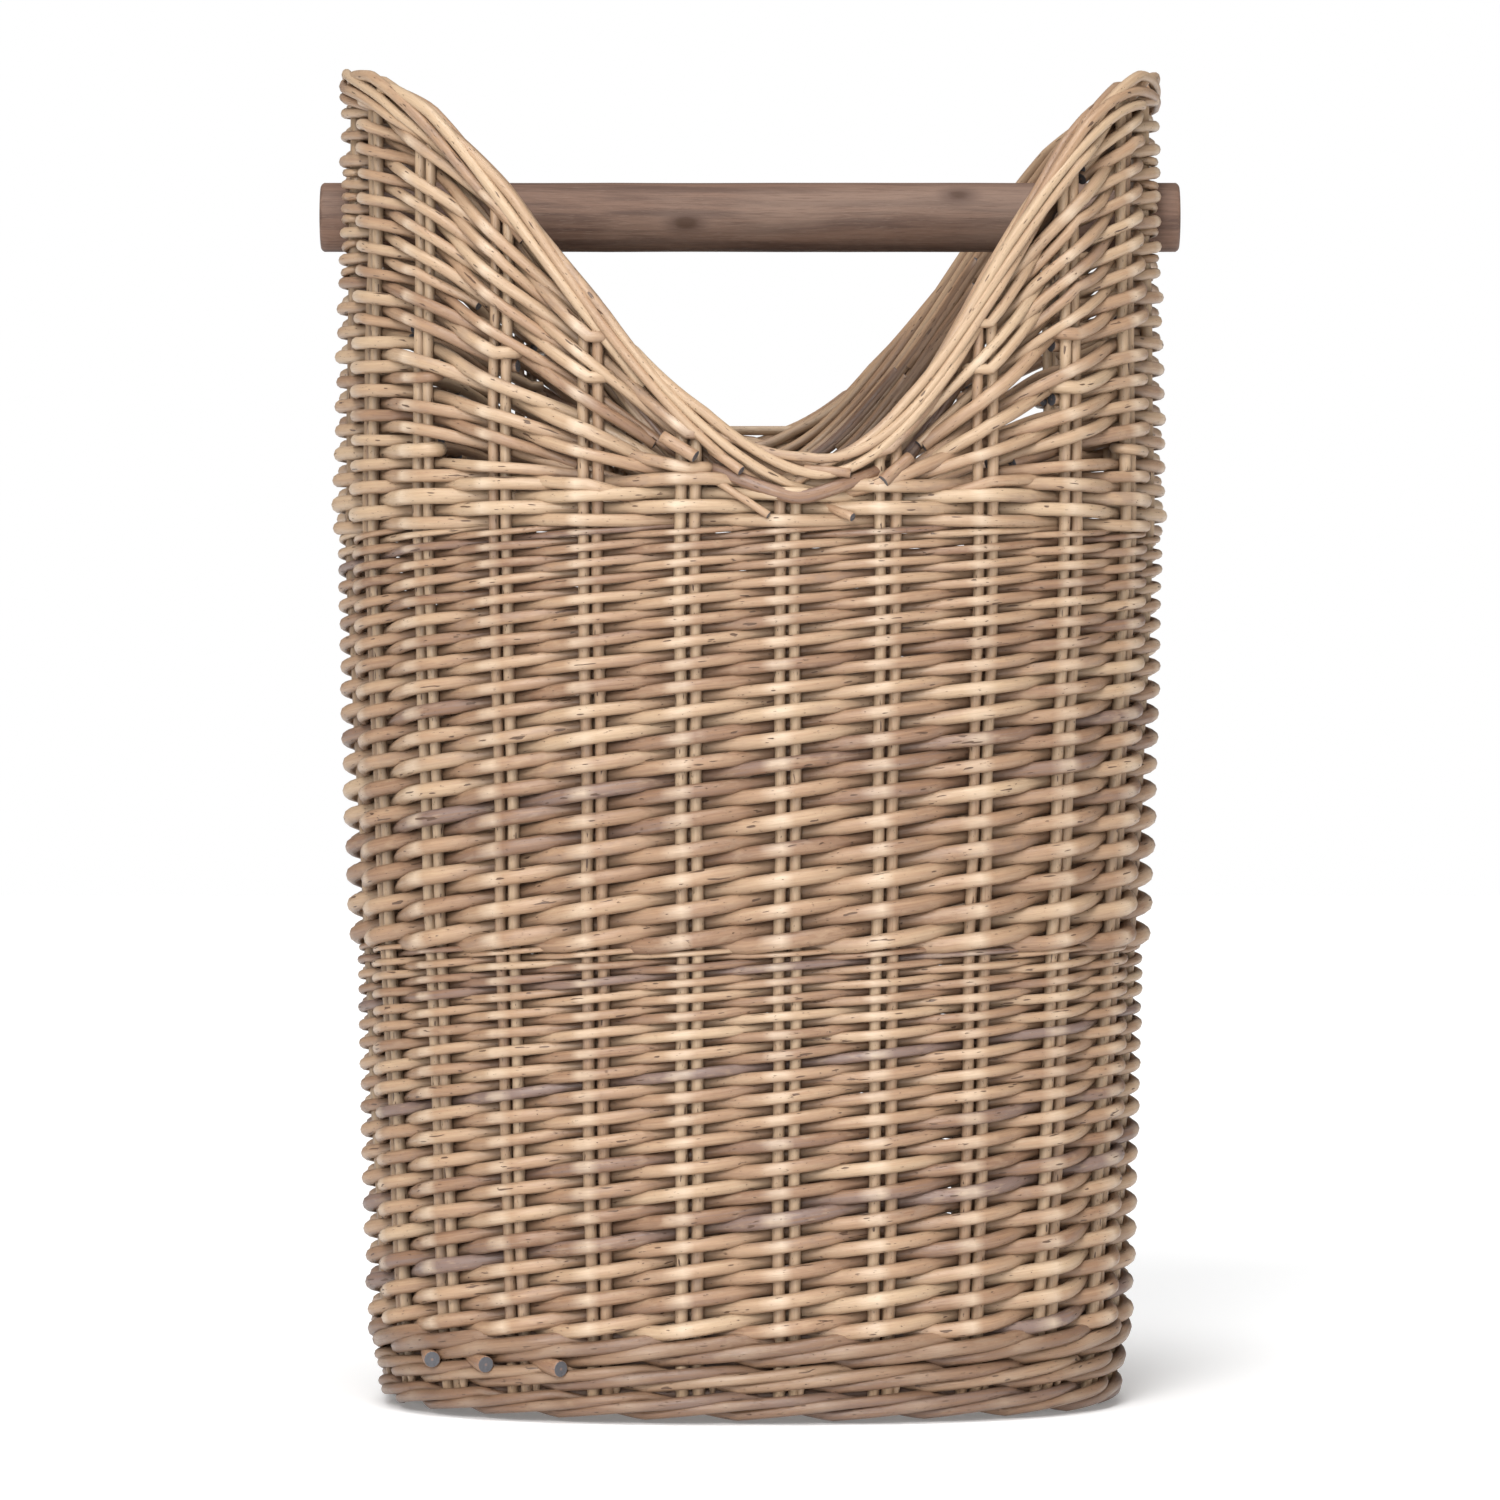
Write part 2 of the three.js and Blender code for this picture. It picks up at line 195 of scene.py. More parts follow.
class Wall:
    """Turns a place along the stakes, a height and a distance outward into a point."""

    PLAN_STEPS = 4000
    PAIRS = np.arange(-STAKES, 3 * STAKES + 1)  # a rod may run more than once round
    ROUND = 13 * MM  # rounds the bottom of each notch
    BOW = 0.185  # how far the stakes beside the pole bow away from it, as a share of the gap between pairs
    BOW_HEIGHT = 34 * MM

    def __init__(self, sizes):
        self.sizes = sizes
        angle = np.linspace(0, 2 * math.pi, self.PLAN_STEPS + 1)
        power = 2 / sizes.squareness
        self.x, self.y = oval(sizes.half_length, sizes.half_depth, power, angle)
        steps = np.hypot(np.diff(self.x), np.diff(self.y))
        self.arc = np.concatenate([[0], np.cumsum(steps)])
        self.perimeter = self.arc[-1]
        widest = reach_of("middle_band")
        self.heights = np.array([FLOOR, UPPER_WALE_TOP, LOWER_BAND_TOP, MIDDLE_BAND_TOP, TIP])
        reaches = [
            reach_of("foot_border") - 2 * MM,
            reach_of("foot_wale_upper"),
            reach_of("lower_band"),
            widest,
            widest - 3 * MM,
        ]
        self.insets = widest - np.array(reaches)
        self.stake_arcs = self.place_stakes()

    def place_stakes(self):
        """Distance round the plan of each stake pair, over four turns."""
        even = (self.PAIRS + 0.5) / STAKES * self.perimeter
        _, y = self.plan(even)
        front = np.clip(-y / self.sizes.half_depth, 0, 1)
        return even - self.sizes.stake_drift * front**3

    def plan(self, arc):
        arc = np.mod(arc, self.perimeter)
        return np.interp(arc, self.arc, self.x), np.interp(arc, self.arc, self.y)

    def arc_of(self, place):
        """Distance round the plan of a place counted in stake pairs."""
        return np.interp(place, self.PAIRS, self.stake_arcs)

    def outward(self, x, y):
        power = self.sizes.squareness - 1
        nx = np.sign(x) * (np.abs(x) / self.sizes.half_length) ** power / self.sizes.half_length
        ny = np.sign(y) * (np.abs(y) / self.sizes.half_depth) ** power / self.sizes.half_depth
        size = np.hypot(nx, ny)
        return nx / size, ny / size

    def point(self, place, height, off):
        """Points at places in stake pairs, heights, and distances outward from the stakes."""
        place, height, off = np.broadcast_arrays(np.asarray(place, float), height, off)
        place = self.bowed(place, height)
        x, y = self.plan(self.arc_of(place))
        nx, ny = self.outward(x, y)
        move = off - np.interp(height, self.heights, self.insets)
        return np.stack([x + move * nx, y + move * ny, height], axis=-1)

    def bowed(self, place, height):
        """The stakes beside the pole bow away from it, and the rods near them follow."""
        close = np.exp(-(((height - POLE_AXIS) / self.BOW_HEIGHT) ** 2))
        for middle in (LEFT_MIDDLE, RIGHT_MIDDLE):
            away = np.mod(place - middle + STAKES / 2, STAKES) - STAKES / 2
            share = np.clip(2 * away, -1, 1) * np.clip((2 - np.abs(away)) / 1.5, 0, 1)
            place = place + self.BOW * share * close
        return place

    def rim(self, place):
        """Height of the rim's top edge."""
        sizes = self.sizes
        x, y = self.plan(self.arc_of(place))
        front = y < 0
        middle = np.where(front, sizes.notch_shift, 0.0)
        bottom = np.where(front, sizes.notch_front, sizes.notch_back)
        span = np.where(x < middle, sizes.half_length + middle, sizes.half_length - middle)
        away = np.hypot(x - middle, self.ROUND) - self.ROUND
        share = np.minimum(1, away / (np.hypot(span, self.ROUND) - self.ROUND))
        climb = (1 - sizes.notch_bend) * share + sizes.notch_bend * (1 - np.cos(math.pi * share)) / 2
        return bottom + climb * (TIP - bottom)


# ---- Rods ----


class RodMesh:
    """Gathers rods into one mesh, with what their finish needs to know at each point."""

    CAP_BEVEL = 0.6 * MM
    GRAIN_SHIFT = 13.7  # moves the grain along from rod to rod, so that no two look the same
    CAP_MIDDLE = 2.0  # the middle of a cut end, whose edge is 1
    KINDS = {
        "grain": "FLOAT_VECTOR",
        "tone": "FLOAT",
        "worn": "FLOAT",
        "cut": "FLOAT",
        "grime": "FLOAT",
    }

    def __init__(self, name):
        self.name = name
        self.count = 0
        self.points = []
        self.faces = []
        self.smooth = []
        self.values = {name: [] for name in self.KINDS}

    def add(self, path, radii, tone, sides=8, worn=None, deep=None):
        """Adds one rod along a path. Deep is 1 where the rod lies behind the others, and there it gets the
        most painted shade.
        """
        path = np.asarray(path, float)
        radii = np.broadcast_to(np.asarray(radii, float), len(path)).copy()
        worn = np.zeros(len(path)) if worn is None else np.asarray(worn, float)
        deep = np.zeros(len(path)) if deep is None else np.asarray(deep, float)
        deep = np.pad(deep, 1, "edge")
        path, radii, worn, cut = self.with_ends(path, radii, worn)
        along = np.concatenate([[0], np.cumsum(np.linalg.norm(np.diff(path, axis=0), axis=1))])
        out, up = self.sections(path)
        angle = np.arange(sides) / sides * 2 * math.pi
        cos, sin = np.cos(angle), np.sin(angle)
        ring = (
            path[:, None, :]
            + radii[:, None, None] * cos[None, :, None] * out[:, None, :]
            + radii[:, None, None] * sin[None, :, None] * up[:, None, :]
        )
        grain = np.empty(ring.shape)
        grain[..., 0] = along[:, None] + self.GRAIN_SHIFT * tone
        grain[..., 1] = radii[:, None] * cos + tone
        grain[..., 2] = radii[:, None] * sin - tone
        # The pale bend mark goes on the outward side: partly rubbing and partly a painted highlight.
        facing = np.clip(cos, 0, 1)[None, :]
        first = self.count
        self.points.append(ring.reshape(-1, 3))
        self.values["grain"].append(grain.reshape(-1, 3))
        self.values["tone"].append(np.full(ring.shape[:2], tone).ravel())
        self.values["worn"].append((worn[:, None] * facing).ravel())
        self.values["cut"].append(np.repeat(cut, sides))
        # Painted shade: darker on the underside and inner side of each rod, and where it lies deep in the
        # weave.
        under = np.clip(-0.75 * sin - 0.35 * cos, 0, 1)[None, :]
        self.values["grime"].append(np.clip(under + 0.75 * deep[:, None] ** 1.5, 0, 1).ravel())
        self.count += ring.shape[0] * sides
        rows = first + np.arange(len(path) - 1)[:, None] * sides
        here, there = np.arange(sides)[None, :], (np.arange(sides)[None, :] + 1) % sides
        quads = np.stack(
            [rows + here, rows + there, rows + sides + there, rows + sides + here],
            axis=-1,
        )
        self.faces.append(quads.reshape(-1, 4)[:, ::-1])
        self.cap(path[0], first, sides, tone, along[0], False)
        self.cap(path[-1], first + (len(path) - 1) * sides, sides, tone, along[-1], True)

    def with_ends(self, path, radii, worn):
        """Gives each cut end a thin bevel."""
        ends = []
        for end, near in ((0, 1), (-1, -2)):
            way = path[end] - path[near]
            ends.append(path[end] + way / max(np.linalg.norm(way), 1e-9) * self.CAP_BEVEL / 2)
        path = np.vstack([ends[0], path, ends[1]])
        radii = np.concatenate([[radii[0] * 0.9], radii, [radii[-1] * 0.9]])
        cut = np.zeros(len(path))
        cut[[0, -1]] = 1
        return path, radii, np.pad(worn, 1), cut

    @staticmethod
    def sections(path):
        """Two directions across the rod at each point, the first turned outward where it can be."""
        ahead = np.gradient(path, axis=0)
        ahead /= np.maximum(np.linalg.norm(ahead, axis=1), 1e-9)[:, None]
        up = np.array([0.0, 0.0, 1.0])
        out = np.cross(ahead, up)
        steep = np.linalg.norm(out, axis=1) < 0.35
        if steep.any():
            radial = path * np.array([1.0, 1.0, 0.0])
            radial /= np.maximum(np.linalg.norm(radial, axis=1), 1e-9)[:, None]
            out = radial - ahead * np.sum(radial * ahead, axis=1)[:, None]
        out /= np.maximum(np.linalg.norm(out, axis=1), 1e-9)[:, None]
        return out, np.cross(ahead, out) * -1

    def cap(self, centre, first, sides, tone, along, at_end):
        self.points.append(centre[None, :])
        self.values["grain"].append(np.array([[along + self.GRAIN_SHIFT * tone, tone, -tone]]))
        self.values["tone"].append(np.array([tone]))
        self.values["worn"].append(np.zeros(1))
        self.values["grime"].append(np.zeros(1))
        self.values["cut"].append(np.full(1, self.CAP_MIDDLE))
        ring = first + np.arange(sides)
        fan = np.stack([ring, np.roll(ring, -1), np.full(sides, self.count)], axis=-1)
        self.faces.append(fan[:, ::-1] if at_end else fan)
        self.count += 1

    def make(self, material):
        faces = [f for block in self.faces for f in block.tolist()]
        mesh = bpy.data.meshes.new(self.name)
        mesh.from_pydata(np.concatenate(self.points).tolist(), [], faces)
        for name, kind in self.KINDS.items():
            layer = mesh.attributes.new(name, kind, "POINT")
            values = np.concatenate(self.values[name]).astype(np.float32).ravel()
            layer.data.foreach_set("vector" if kind == "FLOAT_VECTOR" else "value", values)
        mesh.polygons.foreach_set("use_smooth", [len(f) == 4 for f in faces])
        mesh.materials.append(material)
        mesh.update()
        piece = bpy.data.objects.new(self.name, mesh)
        bpy.context.scene.collection.objects.link(piece)
        return piece


def put(piece, body, slot, *nodes):
    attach(piece, body)
    if nodes:
        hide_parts(*nodes)
    return piece


def waves(rng, at, size, *lengths):
    """A smooth wander of about the given size along a rod, with waves of the given lengths."""
    total = np.zeros_like(at)
    for length_of_wave in lengths:
        total += np.sin(at / length_of_wave * 2 * math.pi + rng.uniform(0, 2 * math.pi))
    return size * total / math.sqrt(len(lengths))


def crossing(at):
    """1 in front of an even stake and -1 behind an odd one, nearly straight between them."""
    near = np.mod(at, 2.0)
    near = np.where(near > 1, 2 - near, near)
    step = np.clip((near - PAIR_FLAT) / (1 - 2 * PAIR_FLAT), 0, 1)
    soft = step * step * (3 - 2 * step)
    return 1 - 2 * (0.8 * step + 0.2 * soft)


def bend_over(at):
    """How strongly a rod bends over the first stake of the pair that it passes in front of."""
    near = np.abs(np.mod(at + 0.09 + 1, 2.0) - 1)
    return np.clip(1.2 - near / 0.10, 0, 1)


def tone_of(rng):
    """A rod's tone: 0 is pale straw, the middle honey, and 1 the mauve of weathered bark."""
    return float(np.clip(rng.beta(4.0, 5.0) + (0.38 if rng.random() < 0.10 else 0), 0.01, 0.99))


# ---- Shader maths ----


class Shader:
    """A material's nodes, made one at a time."""

    def __init__(self, name):
        self.material = bpy.data.materials.new(name)
        self.material.use_nodes = True
        self.nodes = self.material.node_tree.nodes
        self.links = self.material.node_tree.links
        self.nodes.clear()

    def node(self, kind, settings=None, sockets=None):
        """Makes a node, then its settings, then the values or links of its sockets."""
        made = self.nodes.new("ShaderNode" + kind)
        for key, value in (settings or {}).items():
            if key == "stops":
                self.stops(made.color_ramp, value)
            else:
                setattr(made, key, value)
        for key, value in (sockets or {}).items():
            self.feed(made.inputs[key], value)
        return made

    @staticmethod
    def stops(ramp, stops):
        while len(ramp.elements) < len(stops):
            ramp.elements.new(0.5)
        for element, (place, shade) in zip(ramp.elements, stops):
            element.position = place
            element.color = (*shade, 1) if not isinstance(shade, float) else (shade, shade, shade, 1)

    def feed(self, socket, value):
        if isinstance(value, Value):
            value = value.socket
        if isinstance(value, bpy.types.NodeSocket):
            self.links.new(value, socket)
        elif isinstance(value, (tuple, list)) and len(value) == 3 and socket.type == "RGBA":
            socket.default_value = (*value, 1)
        else:
            socket.default_value = value

    def attribute(self, name):
        return self.node("Attribute", {"attribute_name": name})

    def value(self, socket):
        return Value(self, socket)

    def mix(self, share, first, second, blend="MIX"):
        """Mixes two colours."""
        made = self.node("Mix", {"data_type": "RGBA", "blend_type": blend, "clamp_factor": True})
        self.feed(made.inputs[0], share)
        self.feed(made.inputs[6], first)
        self.feed(made.inputs[7], second)
        return made.outputs[2]

    def stretch(self, vector, scale):
        """A vector with its parts scaled."""
        made = self.node("VectorMath", {"operation": "MULTIPLY"}, {0: vector, 1: scale})
        return made.outputs[0]

    def noise(self, vector, scale=1.0, detail=2.0, rough=0.5):
        made = self.node(
            "TexNoise", None, {"Vector": vector, "Scale": scale, "Detail": detail, "Roughness": rough}
        )
        return self.value(made.outputs["Fac"])

    def between(self, value, low, high):
        """0 below low, 1 above high, and smooth between them."""
        made = self.node(
            "MapRange", {"interpolation_type": "SMOOTHSTEP"}, {0: value, 1: low, 2: high, 3: 0.0, 4: 1.0}
        )
        return self.value(made.outputs[0])

    def surface(self, sockets, height=None, strength=0.5, distance=0.3 * MM):
        """The finished surface, with a bump from a height where one is given."""
        if height is not None:
            bump = self.node("Bump", None, {"Strength": strength, "Distance": distance, "Height": height})
            sockets = {**sockets, "Normal": bump.outputs[0]}
        shader = self.node("BsdfPrincipled", None, sockets)
        self.node("OutputMaterial", None, {"Surface": shader.outputs[0]})
        return self.material


class Value:
    """A number in a material, so that shader maths reads as arithmetic."""

    def __init__(self, shader, socket):
        self.shader = shader
        self.socket = socket

    def maths(self, operation, first, second):
        made = self.shader.node("Math", {"operation": operation}, {0: first, 1: second})
        return Value(self.shader, made.outputs[0])

    def __add__(self, other):
        return self.maths("ADD", self, other)

    def __sub__(self, other):
        return self.maths("SUBTRACT", self, other)

    def __rsub__(self, other):
        return self.maths("SUBTRACT", other, self)

    def __mul__(self, other):
        return self.maths("MULTIPLY", self, other)

    __radd__ = __add__
    __rmul__ = __mul__


def willow_finish(colours):
    """Buff willow: long streaks, pores and splits, pale bends that are partly rubbed and partly a painted
    highlight, painted shade under the rods and deep in the weave, and dark cut ends.
    """
    s = Shader("willow")
    grain = s.attribute("grain").outputs["Vector"]
    tone = s.value(s.attribute("tone").outputs["Fac"])
    worn = s.value(s.attribute("worn").outputs["Fac"])
    cut = s.value(s.attribute("cut").outputs["Fac"])
    grime = s.value(s.attribute("grime").outputs["Fac"])
    patches = s.noise(s.stretch(grain, (9.0, 60.0, 60.0)), detail=3.0)
    streaks = s.noise(s.stretch(grain, (28.0, 900.0, 900.0)), detail=4.0, rough=0.6)
    fine = s.noise(s.stretch(grain, (160.0, 2600.0, 2600.0)), detail=2.0)
    mottle = s.noise(s.stretch(grain, (110.0, 260.0, 260.0)), detail=3.0)
    shade = tone + (patches - 0.5) * 0.75 + (streaks - 0.5) * 0.60
    ramp = s.node(
        "ValToRGB",
        {
            "stops": [
                (0.10, tuple(colours.straw)),
                (0.42, tuple(colours.honey)),
                (0.72, tuple(colours.brown)),
                (0.95, tuple(colours.mauve)),
            ]
        },
        {"Fac": shade},
    ).outputs["Color"]
    pale = s.between(mottle + (streaks - 0.5) * 0.5, 0.52, 0.72) * 0.30
    bloom = s.between(patches, 0.52, 0.70) * s.between(mottle, 0.35, 0.62) * 0.38
    base = s.mix(pale, ramp, tuple(colours.straw))
    base = s.mix(bloom, base, tuple(colours.mauve))
    # Pale bends over the stakes, partly rubbed and partly a painted highlight.
    base = s.mix(worn * (0.45 + mottle * 0.5), base, tuple(colours.worn))
    pores = s.noise(s.stretch(grain, (330.0, 1250.0, 1250.0)), detail=2.0, rough=0.6)
    scars = s.noise(s.stretch(grain, (95.0, 520.0, 520.0)), detail=1.0)
    specks = s.between(pores, 0.675, 0.72) * 0.85
    specks = specks + s.between(scars, 0.715, 0.74) * 0.9
    base = s.mix(specks, base, tuple(colours.speck))
    base = s.mix((fine - 0.5) * 0.5 + 0.12, base, tuple(colours.brown))
    # Painted shade under the rods and deep in the weave.
    base = s.mix(grime * (0.40 + mottle * 0.35), base, tuple(colours.grime))
    end = s.mix(s.between(cut, 1.74, 1.90), tuple(colours.cut), tuple(colours.pith))
    base = s.mix(s.between(cut, 0.35, 0.8), base, end)
    rough = 0.43 + (mottle - 0.5) * 0.3 + (fine - 0.5) * 0.2
    height = streaks * 0.7 + fine * 0.35 - specks * 1.1 + patches * 0.6
    return s.surface(
        {"Base Color": base, "Roughness": rough, "Specular IOR Level": 0.5}, height, 0.8, 0.5 * MM
    )


# Each knot's place along the pole, and above its axis.
KNOTS = ((-33 * MM, -4 * MM), (108 * MM, 11 * MM))


def pole_finish(colours):
    """Dull stained hardwood with fine grain along it, a few knots, and pale dust in the pores."""
    s = Shader("stained_hardwood")
    place = s.node("TexCoord").outputs["Object"]
    centred = s.node(
        "VectorMath", {"operation": "SUBTRACT"}, {0: place, 1: (0.0, 0.0, POLE_AXIS)}
    ).outputs[0]
    bent = s.noise(s.stretch(centred, (5.0, 22.0, 22.0)), detail=2.0)
    sideways = s.node("CombineXYZ", None, {0: 0.0, 1: bent * 5, 2: bent * 3}).outputs[0]
    turned = s.node(
        "VectorMath", {"operation": "ADD"}, {0: s.stretch(centred, (7.0, 240.0, 240.0)), 1: sideways}
    ).outputs[0]
    grain = s.noise(turned, detail=5.0, rough=0.62)
    fine = s.noise(s.stretch(centred, (60.0, 1800.0, 1800.0)), detail=3.0, rough=0.6)
    pores = s.noise(s.stretch(centred, (150.0, 2600.0, 2600.0)), detail=1.0)
    broad = s.noise(s.stretch(centred, (9.0, 30.0, 30.0)), detail=2.0)
    base = s.mix(s.between(grain, 0.38, 0.66), tuple(colours.pole), tuple(colours.pole_dark))
    base = s.mix(s.between(broad, 0.45, 0.68) * 0.45, base, tuple(colours.pole_pale))
    base = s.mix(s.between(fine, 0.50, 0.72) * 0.55, base, tuple(colours.pole_dark))
    base = s.mix(s.between(pores, 0.60, 0.70) * 0.35, base, tuple(colours.pole_pale))
    for along, up in KNOTS:
        middle = (along, -POLE_RADIUS, up)
        away = s.node("VectorMath", {"operation": "SUBTRACT"}, {0: centred, 1: middle}).outputs[0]
        squashed = s.stretch(away, (0.55, 0.6, 1.0))
        far = s.value(s.node("VectorMath", {"operation": "LENGTH"}, {0: squashed}).outputs["Value"])
        ragged = far + (grain - 0.5) * 0.004
        base = s.mix(s.between(ragged, 0.0085, 0.002) * 0.85, base, tuple(colours.pole_dark))
        base = s.mix(s.between(ragged, 0.004, 0.0015) * 0.8, base, tuple(colours.speck))
    rough = 0.62 + (fine - 0.5) * 0.3
    height = fine * 0.6 + grain * 0.7 - s.between(pores, 0.58, 0.68) * 0.5
    return s.surface(
        {"Base Color": base, "Roughness": rough, "Specular IOR Level": 0.3}, height, 0.5, 0.35 * MM
    )


# ---- Pieces ----


class Build:
    """What the operators share in one run."""

    wall = None
    willow = None


def wall_of(context):
    if Build.wall is None:
        Build.wall = Wall(context.scene.basket_wall)
    return Build.wall


def willow_of(context):
    if Build.willow is None:
        Build.willow = willow_finish(context.scene.basket_colours)
    return Build.willow


def add_piece(context, mesh, slot, *nodes):
    """Makes a mesh of rods into a willow piece of the basket."""
    put(mesh.make(willow_of(context)), BASKET_BODY, slot, *nodes)


class BASKET_OT_stakes(bpy.types.Operator):
    """Stand the pairs of upright stakes, from the foot to under the rim's border"""

    bl_idname = "basket.stakes"
    bl_label = "Stakes"

    GROUPS = 4
    STEP = 14 * MM
    UNDER_RIM = 14 * MM
    ABOVE_FLOOR = 10 * MM
    CLOSING = (1.08, 0.85)  # the two rods of a pair draw together from the floor to the tips
    THINNING = (1.06, 0.90)  # and get thinner
    PALER = 0.42

    def execute(self, context):
        wall, rods = wall_of(context), context.scene.basket_rods
        rng = np.random.default_rng(11)
        per_group = STAKES // self.GROUPS
        for group in range(self.GROUPS):
            mesh = RodMesh(f"stakes_{('back_right', 'back_left', 'front_left', 'front_right')[group]}")
            members = range(group * per_group, (group + 1) * per_group)
            for pair in members:
                self.stand(mesh, wall, rods, pair, rng)
            nodes = [f"stake_pair_{pair + 1:02d}" for pair in members]
            add_piece(context, mesh, "pale_willow", *nodes)
        return {"FINISHED"}

    def stand(self, mesh, wall, rods, pair, rng):
        top = float(wall.rim(pair)) - self.UNDER_RIM
        bottom = FLOOR + self.ABOVE_FLOOR
        z = np.linspace(bottom, top, int((top - bottom) / self.STEP) + 2)
        spacing = wall.perimeter / STAKES
        for side in (-1, 1):
            apart = side * rods.stake_spacing / 2 * np.interp(z, [0, TIP], self.CLOSING)
            wander = waves(rng, z, 0.5 * MM, 0.31, 0.13)
            place = pair + (apart + wander) / spacing
            radius = rods.stake / 2 * np.interp(z, [0, TIP], self.THINNING) * rng.uniform(0.93, 1.06)
            radius = radius + waves(rng, z, 0.06 * MM, 0.05, 0.021)
            off = waves(rng, z, 0.3 * MM, 0.22, 0.09)
            tone = float(np.clip(tone_of(rng) * self.PALER, 0.02, 0.9))
            mesh.add(wall.point(place, z, off), radius, tone, sides=10)


class BASKET_OT_bands(bpy.types.Operator):
    """Weave the lower and middle bands, of one tapering rod for each stake pair"""

    bl_idname = "basket.bands"
    bl_label = "Woven bands"

    RODS_PER_PIECE = 2
    STEPS = 9
    STROKES = 35  # odd, so that a rod starts and ends out of sight behind a stake
    LEAD = (0.95, 0.1)  # how far a rod runs on before its first stroke and after its last
    ROOM = (0.28, 0.30)  # below the first row and above the last, as a share of two rows' height
    LAST_TAPER = 0.7  # a rod's tip thins to this share of its thickness
    TAPER = 1.4  # above 1, the rows stay tall for longer before they thin out

    def execute(self, context):
        self.band(context, "lower_band", UPPER_WALE_TOP, LOWER_BAND_TOP, 21)
        self.band(context, "middle_band", LOWER_BAND_TOP, MIDDLE_BAND_TOP, 22)
        return {"FINISHED"}

    def band(self, context, node, low, high, seed):
        wall, rods = wall_of(context), context.scene.basket_rods
        rng = np.random.default_rng(seed)
        before, after = self.LEAD
        at = np.linspace(-before, self.STROKES + after, (self.STROKES + 1) * self.STEPS + 1)
        share = np.clip(at / self.STROKES, 0, 1)
        pitch = rods.tip_pitch + (rods.butt_pitch - rods.tip_pitch) * (1 - share**self.TAPER)
        climb = np.concatenate([[0], np.cumsum((pitch[1:] + pitch[:-1]) / 4 * np.diff(at))])
        first, last = np.interp([0, self.STROKES - 1], at, climb)
        bottom, top = low + pitch[0] * self.ROOM[0], high - pitch[-1] * self.ROOM[1]
        z = bottom + (climb - first) / (last - first) * (top - bottom)
        pitch = pitch * (top - bottom) / (last - first)
        for start in range(0, STAKES, self.RODS_PER_PIECE):
            mesh = RodMesh(f"{node}_rods_{start // self.RODS_PER_PIECE + 1:02d}")
            for rod in range(start, start + self.RODS_PER_PIECE):
                self.weave(mesh, wall, rods, rod, at, z, pitch, rng)
            add_piece(context, mesh, "willow", *([node] if start == 0 else []))

    def weave(self, mesh, wall, rods, rod, at, z, pitch, rng):
        along = at * wall.perimeter / STAKES
        radius = pitch * rods.fullness * rng.uniform(0.94, 1.06) / 2
        radius = radius + waves(rng, along, 0.08 * MM, 0.19, 0.07, 0.031)
        radius = radius * np.interp(at, [self.STROKES - 2.5, self.STROKES], [1.0, self.LAST_TAPER])
        side = crossing(at)
        sway = waves(rng, along, 0.35 * MM, 0.33, 0.12) * (1 - np.abs(side))
        height = z + waves(rng, along, 0.35 * MM, 0.24, 0.083)
        height = np.maximum(height, z[0] + (pitch[0] - radius) * 0.42)
        off = side * (rods.stake / 2 + radius * HUG) + sway
        # Painted shade where the rod passes behind a stake.
        deep = (1 - side) / 2
        path = wall.point(rod + at, height, off)
        mesh.add(path, radius, tone_of(rng), sides=10, worn=bend_over(at), deep=deep)


